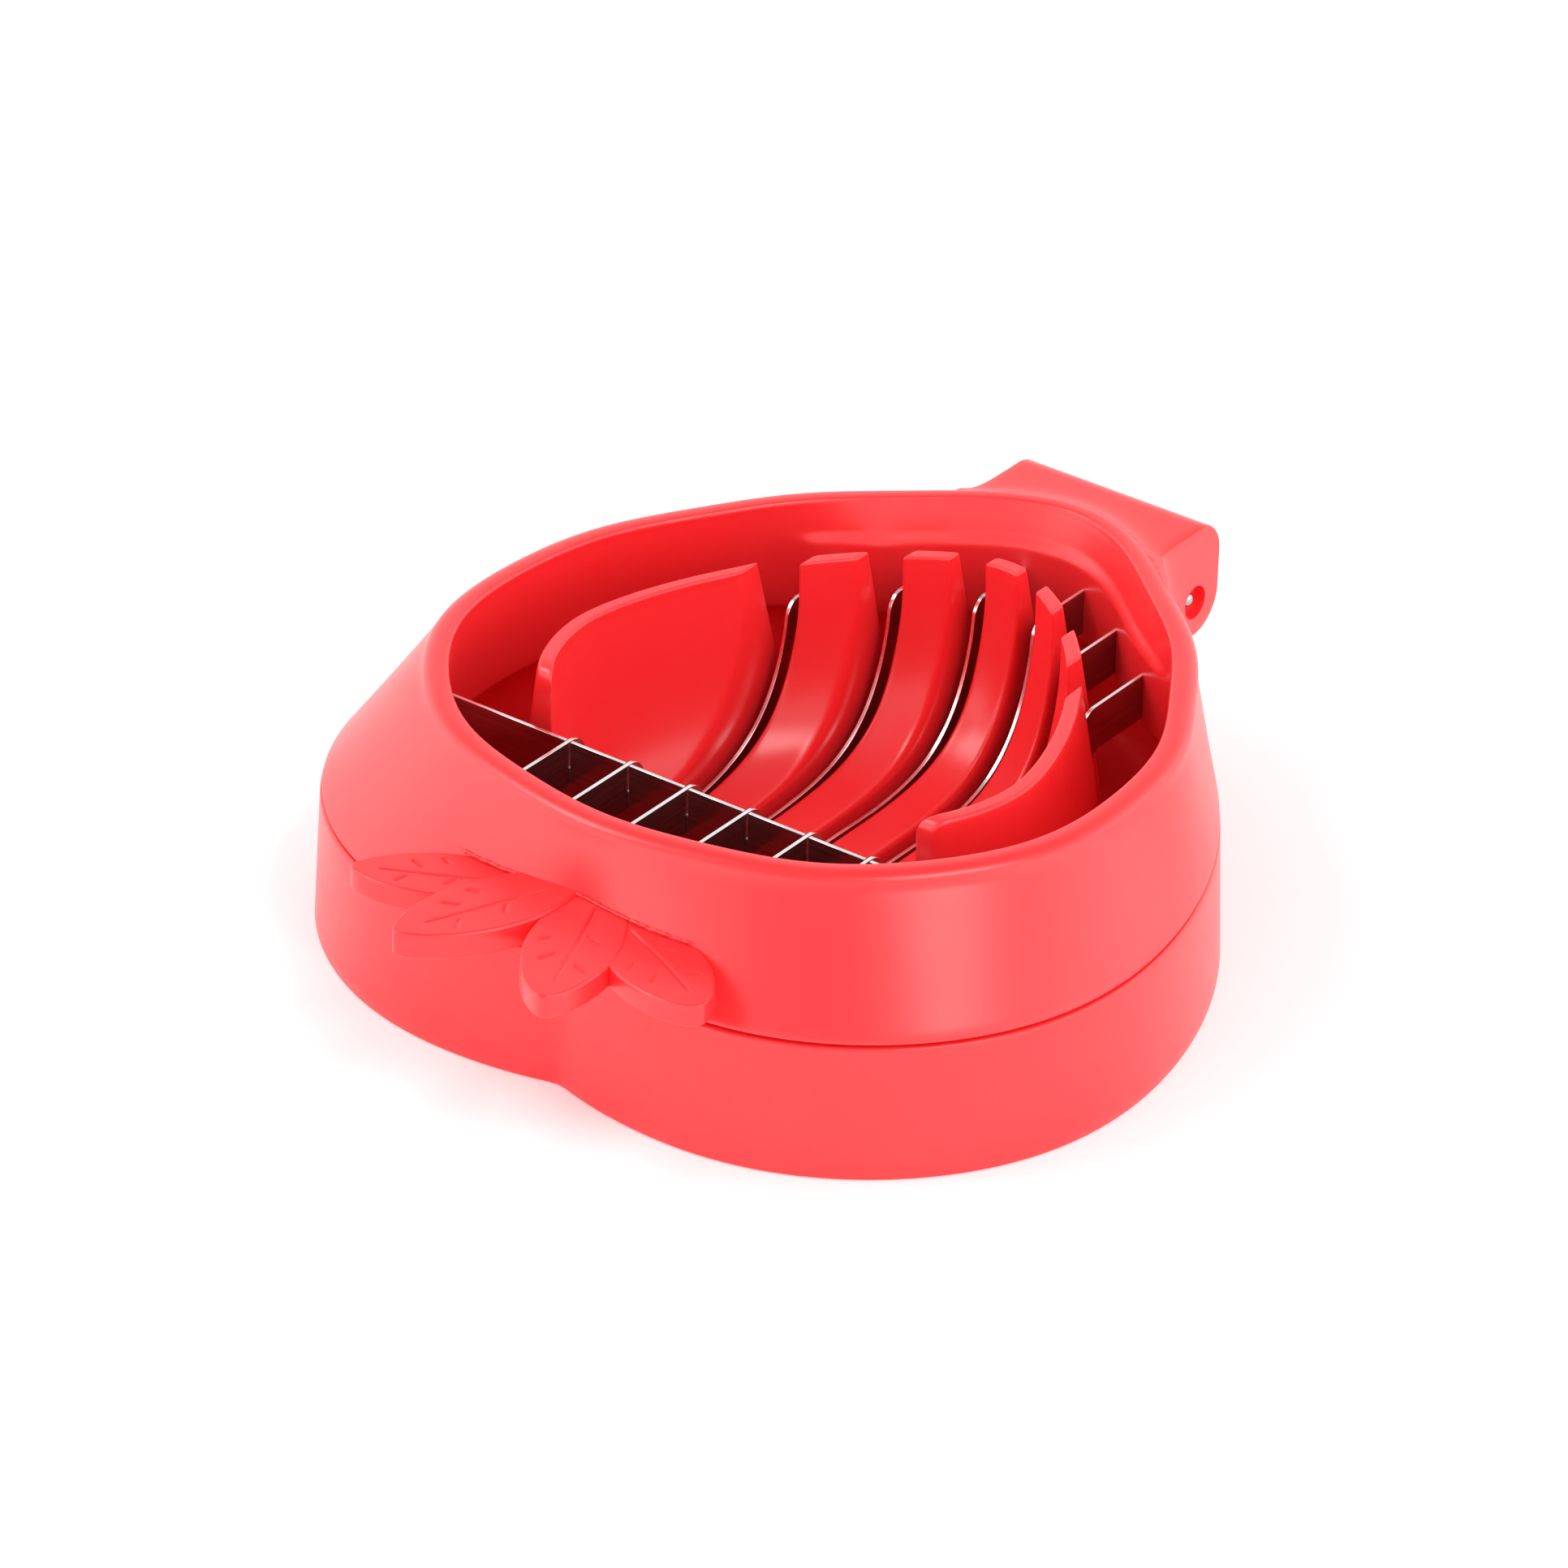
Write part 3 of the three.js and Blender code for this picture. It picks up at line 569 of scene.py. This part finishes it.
# places of a rib's points along, across and through it; close pairs hold a fillet when subdivided
RIB_ALONG = np.concatenate([[0, 0.008, 0.02], np.linspace(0.04, 0.96, 34), [0.978, 0.989, 1]])
RIB_ACROSS = np.array([-1, -0.64, 0, 0.64, 1])
RIB_THROUGH = np.array([0, 0.24, 0.5, 0.76, 1])


def middle_rib(number):
    """A curved rib between two slots, as a lattice of points whose six sides are its faces."""
    centre = (number - 4) * PITCH
    lattice = np.zeros((len(RIB_ALONG), len(RIB_ACROSS), len(RIB_THROUGH), 3))
    at = np.linspace(0, 1, STEPS)
    for i, u in enumerate(RIB_ACROSS):
        x = centre + u * RIB_TOP_HALF
        inner, outer = bowl_chain(x, STEPS), outer_chain(x, STEPS)
        for k, w in enumerate(RIB_THROUGH):
            line = inner * (1 - w) + outer * w
            y = np.interp(RIB_ALONG, at, line[:, 0])
            z = np.interp(RIB_ALONG, at, line[:, 1])
            lattice[:, i, k] = np.stack([centre + u * rib_half(z), y, z], axis=-1)
    sides = [lattice[:, :, 0], lattice[:, ::-1, -1], lattice[:, 0, ::-1], lattice[:, -1, :],
             lattice[0, ::-1, :], lattice[-1, :, :]]
    vertices, faces = [], []
    for side in sides:
        start = sum(len(v) for v in vertices)
        faces += grid_faces(side.shape[0], side.shape[1], False, False, start)
        vertices.append(side.reshape(-1, 3))
    rib = new_object(f"cradle_rib_{number}_body", np.concatenate(vertices), faces)
    return smooth_rib(rib, number)


def smooth_rib(rib, number):
    """Rounds a rib by subdivision and adds it as a piece riding on the base."""
    fine = rib.modifiers.new("fine", "SUBSURF")
    fine.levels = 2
    fine.render_levels = 2
    return add_piece(rib, "base", [f"cradle_rib_{number}"], RED, 180)


def spaced(low, high, count, edge=0.5):
    """Values from low to high with an extra one close to each end, to hold a tight fillet."""
    span = high - low
    near = min(edge / max(abs(span), 1e-6), 0.33)
    inner = np.linspace(near, 1 - near, count - 2)
    return low + span * np.concatenate([[0], inner, [1]])


LOBE_ALONG = np.concatenate([[0, 0.012, 0.03], np.linspace(0.07, 0.93, 30), [0.96, 0.98, 0.992]])
LOBE_THIN = 0.15                    # least thickness where the lobe runs out
LOBE_CAPS = [(0, 2.2), (0, 1.2), (1, 0.5), (2, 0.1)]    # row and inset of its rounded front


def end_lobe(number):
    """The wide end rib: a thick shell bounded by its slot face and by the cradle's outer face."""
    side = -1 if number == 1 else 1
    slot_centre = 3 * PITCH

    def slot_x(z):
        return slot_centre - rib_half(z)

    def end_y(z):
        return back_y(outer_level(z), slot_x(z))

    rows = []
    for t in LOBE_ALONG:
        def y_at(z):
            return CRADLE_FRONT + t * (end_y(z) - CRADLE_FRONT)

        heights = np.linspace(CRADLE_BOTTOM, CRADLE_TOP, STEPS)
        inside = side_x(level(heights), y_at(heights)) > slot_x(heights)
        meet = heights[np.argmax(inside)] if inside.any() else CRADLE_TOP
        meet = min(meet, CRADLE_TOP - 1.2)
        ring = [(slot_x(z), z) for z in spaced(CRADLE_BOTTOM, meet, 9, 1.0)[:-1]]
        for z in spaced(meet, CRADLE_TOP, 18, 0.8)[:-1]:
            ring.append((max(side_x(level(z), y_at(z)), slot_x(z)), z))
        inner_top = max(side_x(level(CRADLE_TOP), y_at(CRADLE_TOP)) - 0.2, slot_x(CRADLE_TOP))
        outer_top = side_x(outer_level(CRADLE_TOP), y_at(CRADLE_TOP))
        outer_top = max(outer_top, inner_top + LOBE_THIN)
        ring += [(x, CRADLE_TOP) for x in spaced(inner_top, outer_top, 5, 0.7)[:-1]]
        for z in spaced(CRADLE_TOP, CRADLE_BOTTOM, 12, 0.8)[:-1]:
            ring.append((max(side_x(outer_level(z), y_at(z)), slot_x(z) + LOBE_THIN), z))
        slot_low = slot_x(CRADLE_BOTTOM)
        outer_low = side_x(outer_level(CRADLE_BOTTOM), y_at(CRADLE_BOTTOM))
        outer_low = max(outer_low, slot_low + LOBE_THIN)
        ring += [(x, CRADLE_BOTTOM) for x in spaced(outer_low, slot_low, 6)[:-1]]
        rows.append([(side * x, y_at(z), z) for x, z in ring])
    rows = np.array(rows)

    def cap(row, step):
        """A row drawn in towards its middle."""
        middle = row.mean(axis=0)
        reach = np.linalg.norm(row - middle, axis=1, keepdims=True)
        shrink = np.clip(1 - step / reach, 0.1, 1)
        return middle + (row - middle) * shrink

    front = [cap(rows[row], step) for row, step in LOBE_CAPS]
    rows = np.concatenate([front, rows[3:], [cap(rows[-1], 0.05)]])
    return smooth_rib(loft(f"cradle_rib_{number}_body", rows), number)


# ---- lid ----
LID_EDGE = 0.35                     # roundings of the ring: its foot outside and inside,
LID_INNER_EDGE = 0.3
RIM_FLAT = 1.1                      # its top, from the inner edge,
RIM_ROUND = 1.2
RIM_INNER_R = 0.4                   # and its top inside
INNER_LEVELS = np.concatenate([np.linspace(25.4, 24.6, 3), np.linspace(24.4, 21.2, 16),
                               np.linspace(20, 14.5, 6)])
HOLLOW_DEPTH = 6.3                  # the groove under the ring that keeps its side walls thin
HOLLOW_TOP = 20.0
HOLLOW_SKIN, HOLLOW_WALL = 1.8, 2.0
HOLLOW_FRONT = [math.radians(34), math.radians(42)]     # it fades in and out between these turns
HOLLOW_REAR = [math.radians(128), math.radians(138)]


def lid_ring():
    """The ring's section, lofted round: outside, rim, inside, and the groove underneath."""
    turn = np.linspace(0, 2 * np.pi, 360, endpoint=False)
    rows = []

    def outer(z, inset=0.0):
        rows.append(place(lid_outer(turn, z) - inset, turn, z))

    def inner(z, inset=0.0):
        rows.append(place(lid_inner(turn, z) + inset, turn, z))

    for a in (0, 30, 60, 90):
        s, c = rounded(LID_EDGE, a)
        outer(LID_BOTTOM + LID_EDGE - c, LID_EDGE - s)
    for z in np.linspace(LID_BOTTOM + 1, LID_TOP - 1.6, 16):
        outer(z)
    rim = rim_radius(turn)
    for a in np.linspace(10, 90, 8):
        s, c = rounded(1, a)
        radius = rim + RIM_FLAT + (RIM_WIDTH - RIM_FLAT + LID_EDGE) * c
        rows.append(place(radius, turn, LID_TOP - RIM_ROUND + RIM_ROUND * s))
    for a in (90, 65, 45, 25, 0):
        s, c = rounded(RIM_INNER_R, a)
        rows.append(place(rim + RIM_INNER_R - c, turn, LID_TOP - RIM_INNER_R + s))
    for z in INNER_LEVELS:
        inner(z)
    for a in (60, 30, 0):
        s, c = rounded(LID_INNER_EDGE, a)
        inner(LID_BOTTOM + LID_INNER_EDGE - c, LID_INNER_EDGE - s)

    wall = lid_outer(turn, LID_BOTTOM) - HOLLOW_WALL
    skirt = np.minimum(lid_inner(turn, LID_BOTTOM) + HOLLOW_SKIN, wall - 0.4)
    top_skirt = np.minimum(lid_inner(turn, HOLLOW_TOP) + HOLLOW_SKIN, lid_outer(turn, HOLLOW_TOP) - 2.3)
    top_wall = np.maximum(lid_outer(turn, HOLLOW_TOP) - HOLLOW_WALL, top_skirt + 0.3)
    from_leaf = np.abs((turn + np.pi) % (2 * np.pi) - np.pi)
    share = smoothstep(from_leaf, *HOLLOW_FRONT) * (1 - smoothstep(from_leaf, *HOLLOW_REAR))
    depth = HOLLOW_DEPTH * share
    rows.append(place(skirt, turn, LID_BOTTOM))
    for f in (0.04, 0.5, 0.96, 1.0):
        r = skirt + (top_skirt + (0.25 if f == 1.0 else 0) - skirt) * f * share
        rows.append(place(r, turn, LID_BOTTOM + depth * f))
    for f in (1.0, 0.96, 0.5, 0.04):
        r = wall + (top_wall - (0.1 if f == 1.0 else 0) - wall) * f * share
        rows.append(place(r, turn, LID_BOTTOM + depth * f))
    rows.append(place(wall, turn, LID_BOTTOM))
    return loft("lid_frame_body", rows, wrap=True)


# the block's top runs up to the rim's rounded shoulder and meets it on the same slope
BLEND_AT = 2.1
BLEND_RISE = 0.62
BLEND_LENGTH = 0.95
# its sides flare into the lid's wall
FLARE_WIDTH = 1.1
FLARE_LENGTH = 1.1
BLOCK_EDGE = 0.35
BLOCK_CORNER = 3.0                  # rounding of the back of its top
BLOCK_HANG = 3.9                    # it hangs this far below the hinge line
BLOCK_WALL_Y = 28.9                 # in front of this it stays inside the ring's height
BLOCK_FRONT = 25.5
MOUTH_SKIN = 0.7                    # the block stays this far behind the ring's inner face
MOUTH_LEVELS = [12, 15, 18, 20, 21.5, 22, 22.5, 23, 24, 25, LID_TOP, 28]


def wall_at_block_side(z):
    """y of the lid's outer wall beside the block."""
    turn = np.pi - math.atan2(BLOCK_HALF, 42)           # 42 is about its distance from the centre
    wall = float(lid_outer(np.array(turn), min(max(z, LID_BOTTOM), LID_TOP)))
    return CENTRE_Y + math.sqrt(wall ** 2 - BLOCK_HALF ** 2)


def block_top(x, y):
    """How far the block's top stands above its own level at (x, y)."""
    turn = np.pi - math.atan2(x, y - CENTRE_Y)
    out = math.hypot(x, y - CENTRE_Y) - float(rim_radius(turn)) - BLEND_AT
    return BLEND_RISE * math.exp(-out / BLEND_LENGTH) if out > 0 else BLEND_RISE + 0.2 * out


def hinge_block():
    """Sections across the block, from inside the rim to its back face."""
    corner_y = BLOCK_BACK - BLOCK_CORNER
    ys = np.concatenate([[BLOCK_FRONT], np.linspace(27.0, 33.5, 27), np.linspace(34.0, corner_y, 5)[:-1],
                         BLOCK_BACK - BLOCK_CORNER * (1 - np.sin(np.linspace(0, np.pi / 2, 12)))])
    edge = BLOCK_EDGE
    corner_turn = np.radians([0, 30, 60, 90])
    side_in = np.concatenate([edge - edge * np.cos(corner_turn[::-1]), np.zeros(16),
                              edge - edge * np.cos(corner_turn)])
    rows = []
    for y in ys:
        over = max(y - corner_y, 0)
        high = BLOCK_TOP - BLOCK_CORNER + math.sqrt(max(BLOCK_CORNER ** 2 - over ** 2, 0))
        under = max(y - HINGE_Y, 0)
        low = LID_BOTTOM + 0.2
        if y > BLOCK_WALL_Y:
            low = HINGE_Z - math.sqrt(max(BLOCK_HANG ** 2 - under ** 2, 0))
        side_z = np.concatenate([high - edge + edge * np.sin(corner_turn[::-1]),
                                 np.linspace(high - edge, low + edge, 18)[1:-1],
                                 low + edge - edge * np.sin(corner_turn)])
        right = []
        for z, inset in zip(side_z, side_in):
            wide = FLARE_WIDTH * math.exp(-max(y - wall_at_block_side(z), 0) / FLARE_LENGTH)
            wide *= smoothstep(z, LID_BOTTOM - 0.1, LID_BOTTOM + 0.8)
            lift = block_top(BLOCK_HALF, y) if z > high - edge - 0.01 else 0.0
            right.append((BLOCK_HALF + wide - inset, y, z + lift))
        top_x = np.linspace(-right[0][0], right[0][0], 23)[1:-1]
        top = [(x, y, high + block_top(x, y)) for x in top_x]
        low_x = np.linspace(right[-1][0], -right[-1][0], 11)[1:-1]
        bottom = [(x, y, low) for x in low_x]
        left = [(-x, yy, z) for x, yy, z in right[::-1]]
        rows.append(top + right + bottom + left)
    block = loft("hinge_block", rows)
    turn = np.linspace(0, 2 * np.pi, 240, endpoint=False)
    mouth = [place(lid_inner(turn, min(z, LID_TOP)) + MOUTH_SKIN, turn, z) for z in MOUTH_LEVELS]
    return boolean(block, loft("mouth", mouth), "DIFFERENCE")


CHANNEL_ROOM = 0.3                  # in front of the knuckle
CHANNEL_R = 4.0
COUNTERBORE_R = 1.75
COUNTERBORE_HALF = 0.6


def lid_frame():
    ring = lid_ring()
    boolean(ring, hinge_block(), "UNION")
    front = HINGE_Y - KNUCKLE_R - CHANNEL_ROOM
    channel = [(front, 10), (FAR_BACK, 10), (FAR_BACK, 21.3)]
    channel += arc(HINGE_Y, HINGE_Z, CHANNEL_R, 90, 150, 16) + [(front, HINGE_Z + 1.6)]
    boolean(ring, prism("channel", channel, -KNUCKLE_HALF - 0.5, KNUCKLE_HALF + 0.5), "DIFFERENCE")
    boolean(ring, rod("pin_hole", PIN_R + PIN_ROOM, -BLOCK_HALF - 1, BLOCK_HALF + 1), "DIFFERENCE")
    for side in (-1, 1):
        x = side * (BLOCK_HALF - 0.5)
        bore = rod("counterbore", COUNTERBORE_R, x - COUNTERBORE_HALF, x + COUNTERBORE_HALF)
        boolean(ring, bore, "DIFFERENCE")
    return add_piece(ring, "lid", ["lid_frame"], RED, 40)


# ---- leaf tab ----
LEAVES = [
    # root, tip, half width, bluntness, height above the CAD leaves' top
    ((-4.0, -49.5), (-19.7, -57.9), 3.8, 0.65, -0.12),
    ((4.0, -49.5), (20.3, -57.3), 4.4, 0.55, -0.12),
    ((-1.2, -46.5), (-8.9, -65.0), 4.4, 0.7, 0.3),
    ((1.2, -46.5), (8.4, -65.2), 4.5, 0.7, 0.0),
]
NICKS = [
    # short engraved strokes: start and end (along, across), as shares of the length and half width
    ((0.44, 0.22), (0.48, 0.46)), ((0.63, -0.22), (0.69, -0.48)), ((0.70, 0.30), (0.74, 0.55)),
    ((0.50, -0.50), (0.53, -0.68)),
]
LEAF_ROUND = 0.35                   # rounding of a leaf's top edge
MIDRIB_BEND = 0.35
MIDRIB_DEPTH, MIDRIB_WIDTH = 0.16, 0.1
NICK_DEPTH, NICK_WIDTH = 0.18, 0.13
LEAF_STEP = 0.2                     # keeps the undersides of touching leaves out of one plane


def stroke_distance(along, across, start, end):
    """Distance of points from a straight stroke."""
    a, b = np.array(start), np.array(end)
    line = b - a
    t = np.clip(((along - a[0]) * line[0] + (across - a[1]) * line[1]) / (line @ line), 0, 1)
    return np.hypot(along - a[0] - t * line[0], across - a[1] - t * line[1])


def leaf(root, tip, half_width, blunt, lift):
    """Sections across one leaf: its engraved top, then its flat underside."""
    root, tip = np.array(root, float), np.array(tip, float)
    length = np.linalg.norm(tip - root)
    axis = (tip - root) / length
    side = np.array([-axis[1], axis[0]])
    t = (1 - np.cos(np.linspace(0.02, 1, 150) * np.pi)) / 2
    s = np.sin(np.linspace(-1, 1, 91) * np.pi / 2)
    inside = np.clip(t, 0.001, 0.9995)
    oval = (1 - np.abs(2 * inside - 1) ** 2.1) ** 0.6
    width = half_width * (0.5 * np.sin(np.pi * inside) ** blunt + 0.5 * oval)
    along, across = np.meshgrid(t * length, s, indexing="ij")
    across = across * width[:, None]
    edge = np.minimum(width[:, None] - np.abs(across), (length - along) * 0.8)
    d = np.clip(edge, 0, LEAF_ROUND)
    rounding = LEAF_ROUND - np.sqrt(LEAF_ROUND ** 2 - (LEAF_ROUND - d) ** 2)
    bent = across - MIDRIB_BEND * np.sin(np.pi * along / length)
    middle = stroke_distance(along, bent, (0.2 * length, 0), (0.84 * length, 0.02 * half_width))
    cut = MIDRIB_DEPTH * np.exp(-(middle / MIDRIB_WIDTH) ** 2)
    for start, end in NICKS:
        scaled = [(p[0] * length, p[1] * half_width) for p in (start, end)]
        nick = stroke_distance(along, across, *scaled)
        cut = np.maximum(cut, NICK_DEPTH * np.exp(-(nick / NICK_WIDTH) ** 2))
    top = LEAF_TOP + lift - rounding - cut
    low = LEAF_TOP - LEAF_THICK + 0.6 * rounding + LEAF_STEP * (lift - LEAVES[0][4])
    plan = root + along[..., None] * axis + across[..., None] * side
    upper = np.concatenate([plan, top[..., None]], axis=-1)
    lower = np.concatenate([plan, low[..., None]], axis=-1)
    rows = [np.concatenate([upper[i], lower[i][::-1]]) for i in range(len(t))]
    return np.array(rows)


FLASH_REACH = 0.36                  # half the angle that the flash covers


def flash_bead():
    """The thin uneven line of flash where the leaves meet the lid wall."""
    turns = np.linspace(-FLASH_REACH, FLASH_REACH, 240)
    around = np.linspace(0, 2 * np.pi, 10, endpoint=False)
    ragged = (0.13 + 0.03 * np.sin(turns * 211) + 0.025 * np.sin(turns * 97 + 1)
              + 0.02 * np.sin(turns * 463))
    size = ragged * smoothstep(FLASH_REACH - np.abs(turns), 0.0, 0.03) + 0.01
    radius = lid_outer(turns, LEAF_TOP)[:, None] + 0.1 + size[:, None] * np.cos(around)
    height = LEAF_TOP + 0.12 + size[:, None] * np.sin(around)
    return place(radius, turns[:, None] + 0 * radius, height)


def leaf_crown():
    crown = loft("leaf_crown_body", leaf(*LEAVES[0]))
    for values in LEAVES[1:]:
        boolean(crown, loft("leaf", leaf(*values)), "UNION")
    boolean(crown, loft("flash", flash_bead()), "UNION")
    return add_piece(crown, "lid", ["leaf_crown"], RED, 60)


# ---- blades ----
BLADE_INSERT = 1.2                  # how far the ends go into the lid's wall
SHOULDER_R, HEEL_R = 2.0, 2.1       # bends behind and in front, where the edge leaves the strip
HEEL_OFFSET = 2.2                   # the front bend's centre is this far in front of LEG_Y
LEG_Y = -25.7                       # the front leg's hollow face
LEG_WIDTH = 1.5
# points measured from LEG_Y, or for the heel from the leg's front face, and from the bowl's floor
LEG_FOOT = [(5, 0), (3.4, 0.25), (2.2, 0.8), (1.2, 1.8), (0.5, 3.4), (0, 6)]
LEG_HEEL = [(0, 5), (0.4, 2.2), (1.2, 0.4)]
EDGE_SHARES = np.concatenate([np.linspace(0.31, 0.9, 22), np.linspace(0.92, 1, 12)])
BEVEL = 0.05


def wall_y(x, sign):
    """Where a plane of constant x meets the lid's inner face at blade height."""
    def reach():
        return float(lid_inner(np.array(turn), BLADE_TOP - 2))

    turn = np.pi if sign > 0 else 0.0
    for _ in range(40):
        base = math.asin(min(abs(x) / reach(), 1))
        turn = np.pi - base if sign > 0 else base
    return CENTRE_Y - reach() * math.cos(turn)


def blade_profile(x):
    """Outline (y, z) of the U-shaped blade at x: its top and hollow edge, then its underside."""
    back, front = wall_y(x, 1) + BLADE_INSERT, wall_y(x, -1) - BLADE_INSERT
    low = BLADE_TOP - BLADE_STRIP
    inner = []
    for f in EDGE_SHARES:
        scale = bowl_scale(f)
        a, b = (BOWL_A + EDGE_SIDE) * scale, (BOWL_BACK + EDGE_REAR) * scale
        if abs(x) / a >= 0.97:
            break
        inner.append((back_y((a, b, 1.0), x) + EDGE_BACK, CRADLE_TOP - EDGE_DROP - BOWL_DEPTH * f))
    shoulder, floor = inner[0][0], inner[-1][1]
    outer = [(y + 2.4 * min(1, (z - floor + 1.5) / 8), max(z - 2.1, BLADE_LOW))
             for y, z in inner if z < low - 2]
    heel = LEG_Y - LEG_WIDTH
    profile = [(back, BLADE_TOP)]
    profile += arc(shoulder + SHOULDER_R, BLADE_TOP - SHOULDER_R, SHOULDER_R, 90, 170, 14)
    profile += [point for point in inner if point[1] < BLADE_TOP - 3]
    profile += [(LEG_Y + y, floor + z) for y, z in LEG_FOOT]
    profile += arc(LEG_Y - HEEL_OFFSET, BLADE_TOP - HEEL_R, HEEL_R, 10, 90, 12)
    profile += [(front, BLADE_TOP), (front, low), (CROSS_Y - NOTCH_GAP, low),
                (CROSS_Y - NOTCH_GAP, NOTCH_Z), (heel, NOTCH_Z)]
    profile += [(heel + y, floor + z) for y, z in LEG_HEEL] + [(LEG_Y + 1.5, BLADE_LOW)]
    profile += outer[::-1]
    profile += [(shoulder + 1.8, low - 0.5), (shoulder + 2.8, low), (back, low)]
    return profile


def slicing_blade(number):
    x = BLADES[number - 1]
    name = f"slicing_blade_{number}"
    blade = prism(f"{name}_body", blade_profile(x), x - SHEET / 2, x + SHEET / 2)
    soften(blade, BEVEL, 2, 50)
    add_piece(blade, "lid", [name], BLADE_STEEL, 30)
    paint_edge_highlight(blade, 0)


CROSS_ROOM = 0.4                    # the cross blade stops this far short of its CAD length
CROSS_BELLY = [(21.5, 11.5), (20.2, 8), (18.5, 5.5), (16.4, 3.7), (14, 2.7), (9, 2.0)]


def cross_blade():
    low = BLADE_TOP - BLADE_STRIP
    half = CROSS_HALF - CROSS_ROOM
    lower = [(half, low), (24, low), (22.6, low - 0.6)] + CROSS_BELLY
    upper = []
    for x in BLADES:
        upper += [(x - NOTCH_GAP, BLADE_TOP), (x - NOTCH_GAP, NOTCH_Z),
                  (x + NOTCH_GAP, NOTCH_Z), (x + NOTCH_GAP, BLADE_TOP)]
    profile = [(-x, z) for x, z in lower] + lower[::-1]
    profile += [(half, BLADE_TOP)] + upper[::-1] + [(-half, BLADE_TOP)]
    blade = prism("cross_blade_body", profile, CROSS_Y - SHEET / 2, CROSS_Y + SHEET / 2, "Y")
    soften(blade, BEVEL, 2, 50)
    add_piece(blade, "lid", ["cross_blade"], CROSS_STEEL, 30)
    paint_edge_highlight(blade, 1)


def hinge_pin():
    pin = rod("hinge_pin_body", PIN_R, PIN_LOW[0], PIN_HIGH[0], 0.5)
    return add_piece(pin, "lid", ["hinge_pin"], PIN_STEEL, 30)


# ---- camera, floor and light ----
def camera():
    """The photo's view, matched by least squares."""
    data = bpy.data.cameras.new("camera")
    data.lens = 195.65
    data.sensor_width = 36
    data.clip_start = 0.05
    data.clip_end = 20
    obj = bpy.data.objects.new("camera", data)
    bpy.context.scene.collection.objects.link(obj)
    right = Vector((0.80041, 0.59912, 0.02000))
    up = Vector((-0.31685, 0.39451, 0.86254))
    back = Vector((0.50887, -0.69672, 0.50560))
    matrix = Matrix((right, up, back)).transposed().to_4x4()
    matrix.translation = Vector((0.4089, -0.5774, 0.4228))
    obj.matrix_world = matrix
    bpy.context.scene.camera = obj


def floor():
    half, z = 3000, -0.05
    corners = [(-half, -half, z), (half, -half, z), (half, half, z), (-half, half, z)]
    obj = new_object("floor", corners, [(0, 1, 2, 3)])
    material, _, shader = new_material("floor")
    shader.inputs["Base Color"].default_value = (0.93, 0.93, 0.93, 1)
    shader.inputs["Roughness"].default_value = 0.6
    shader.inputs["Specular IOR Level"].default_value = 0.2
    shader.inputs["Emission Color"].default_value = (1, 1, 1, 1)
    shader.inputs["Emission Strength"].default_value = 0.17
    obj.data.materials.append(material)


def softbox(name, location, power):
    """A square light that faces the tool."""
    data = bpy.data.lights.new(name, "AREA")
    data.shape = "RECTANGLE"
    data.size = data.size_y = SOFTBOX_SIZE
    data.energy = power
    obj = bpy.data.objects.new(name, data)
    obj.location = location
    obj.rotation_euler = (-Vector(location)).to_track_quat("-Z", "Y").to_euler()
    bpy.context.scene.collection.objects.link(obj)


SOFTBOX_SIZE = 0.42
DIM_PARTS = [
    # towards, where the dimming starts and ends along it, brightness left
    ((0, 0, 1), 0.35, 0.85, 0.2),
    ((0.57, -0.8, 0.2), 0.6, 0.95, 0.6),
    ((-0.57, 0.78, 0.25), 0.5, 0.9, 0.55),
]


def studio():
    """A light tent: pale all round, dimmer overhead and at both ends of the view, with two softboxes."""
    world = bpy.data.worlds.new("studio")
    world.use_nodes = True
    tree = world.node_tree
    background = tree.nodes["Background"]
    direction = add_node(tree, "ShaderNodeTexCoord")
    shade = None
    for towards, start, end, dim in DIM_PARTS:
        along = add_node(tree, "ShaderNodeVectorMath", operation="DOT_PRODUCT")
        along.inputs[1].default_value = towards
        fade = ramp(tree, start, end, (1, 1, 1, 1), (dim, dim, dim, 1))
        link(tree, direction, "Generated", along, 0)
        link(tree, along, "Value", fade, "Fac")
        if shade is None:
            shade = fade.outputs["Color"]
            continue
        both = add_node(tree, "ShaderNodeMix", data_type="RGBA", blend_type="MULTIPLY")
        both.inputs[0].default_value = 1
        tree.links.new(shade, both.inputs[6])
        tree.links.new(fade.outputs["Color"], both.inputs[7])
        shade = both.outputs[2]
    tree.links.new(shade, background.inputs["Color"])
    background.inputs["Strength"].default_value = 2.1
    bpy.context.scene.world = world
    softbox("softbox_left", (-0.62, -0.36, 0.86), 2.9)
    softbox("softbox_right", (0.62, -0.14, 0.92), 3.2)
    bpy.context.scene.view_settings.view_transform = "Standard"


camera()
base_shell()
for rib in range(2, 7):
    middle_rib(rib)
for rib in (1, 7):
    end_lobe(rib)
lid_frame()
leaf_crown()
for blade in range(1, 7):
    slicing_blade(blade)
cross_blade()
hinge_pin()
floor()
studio()
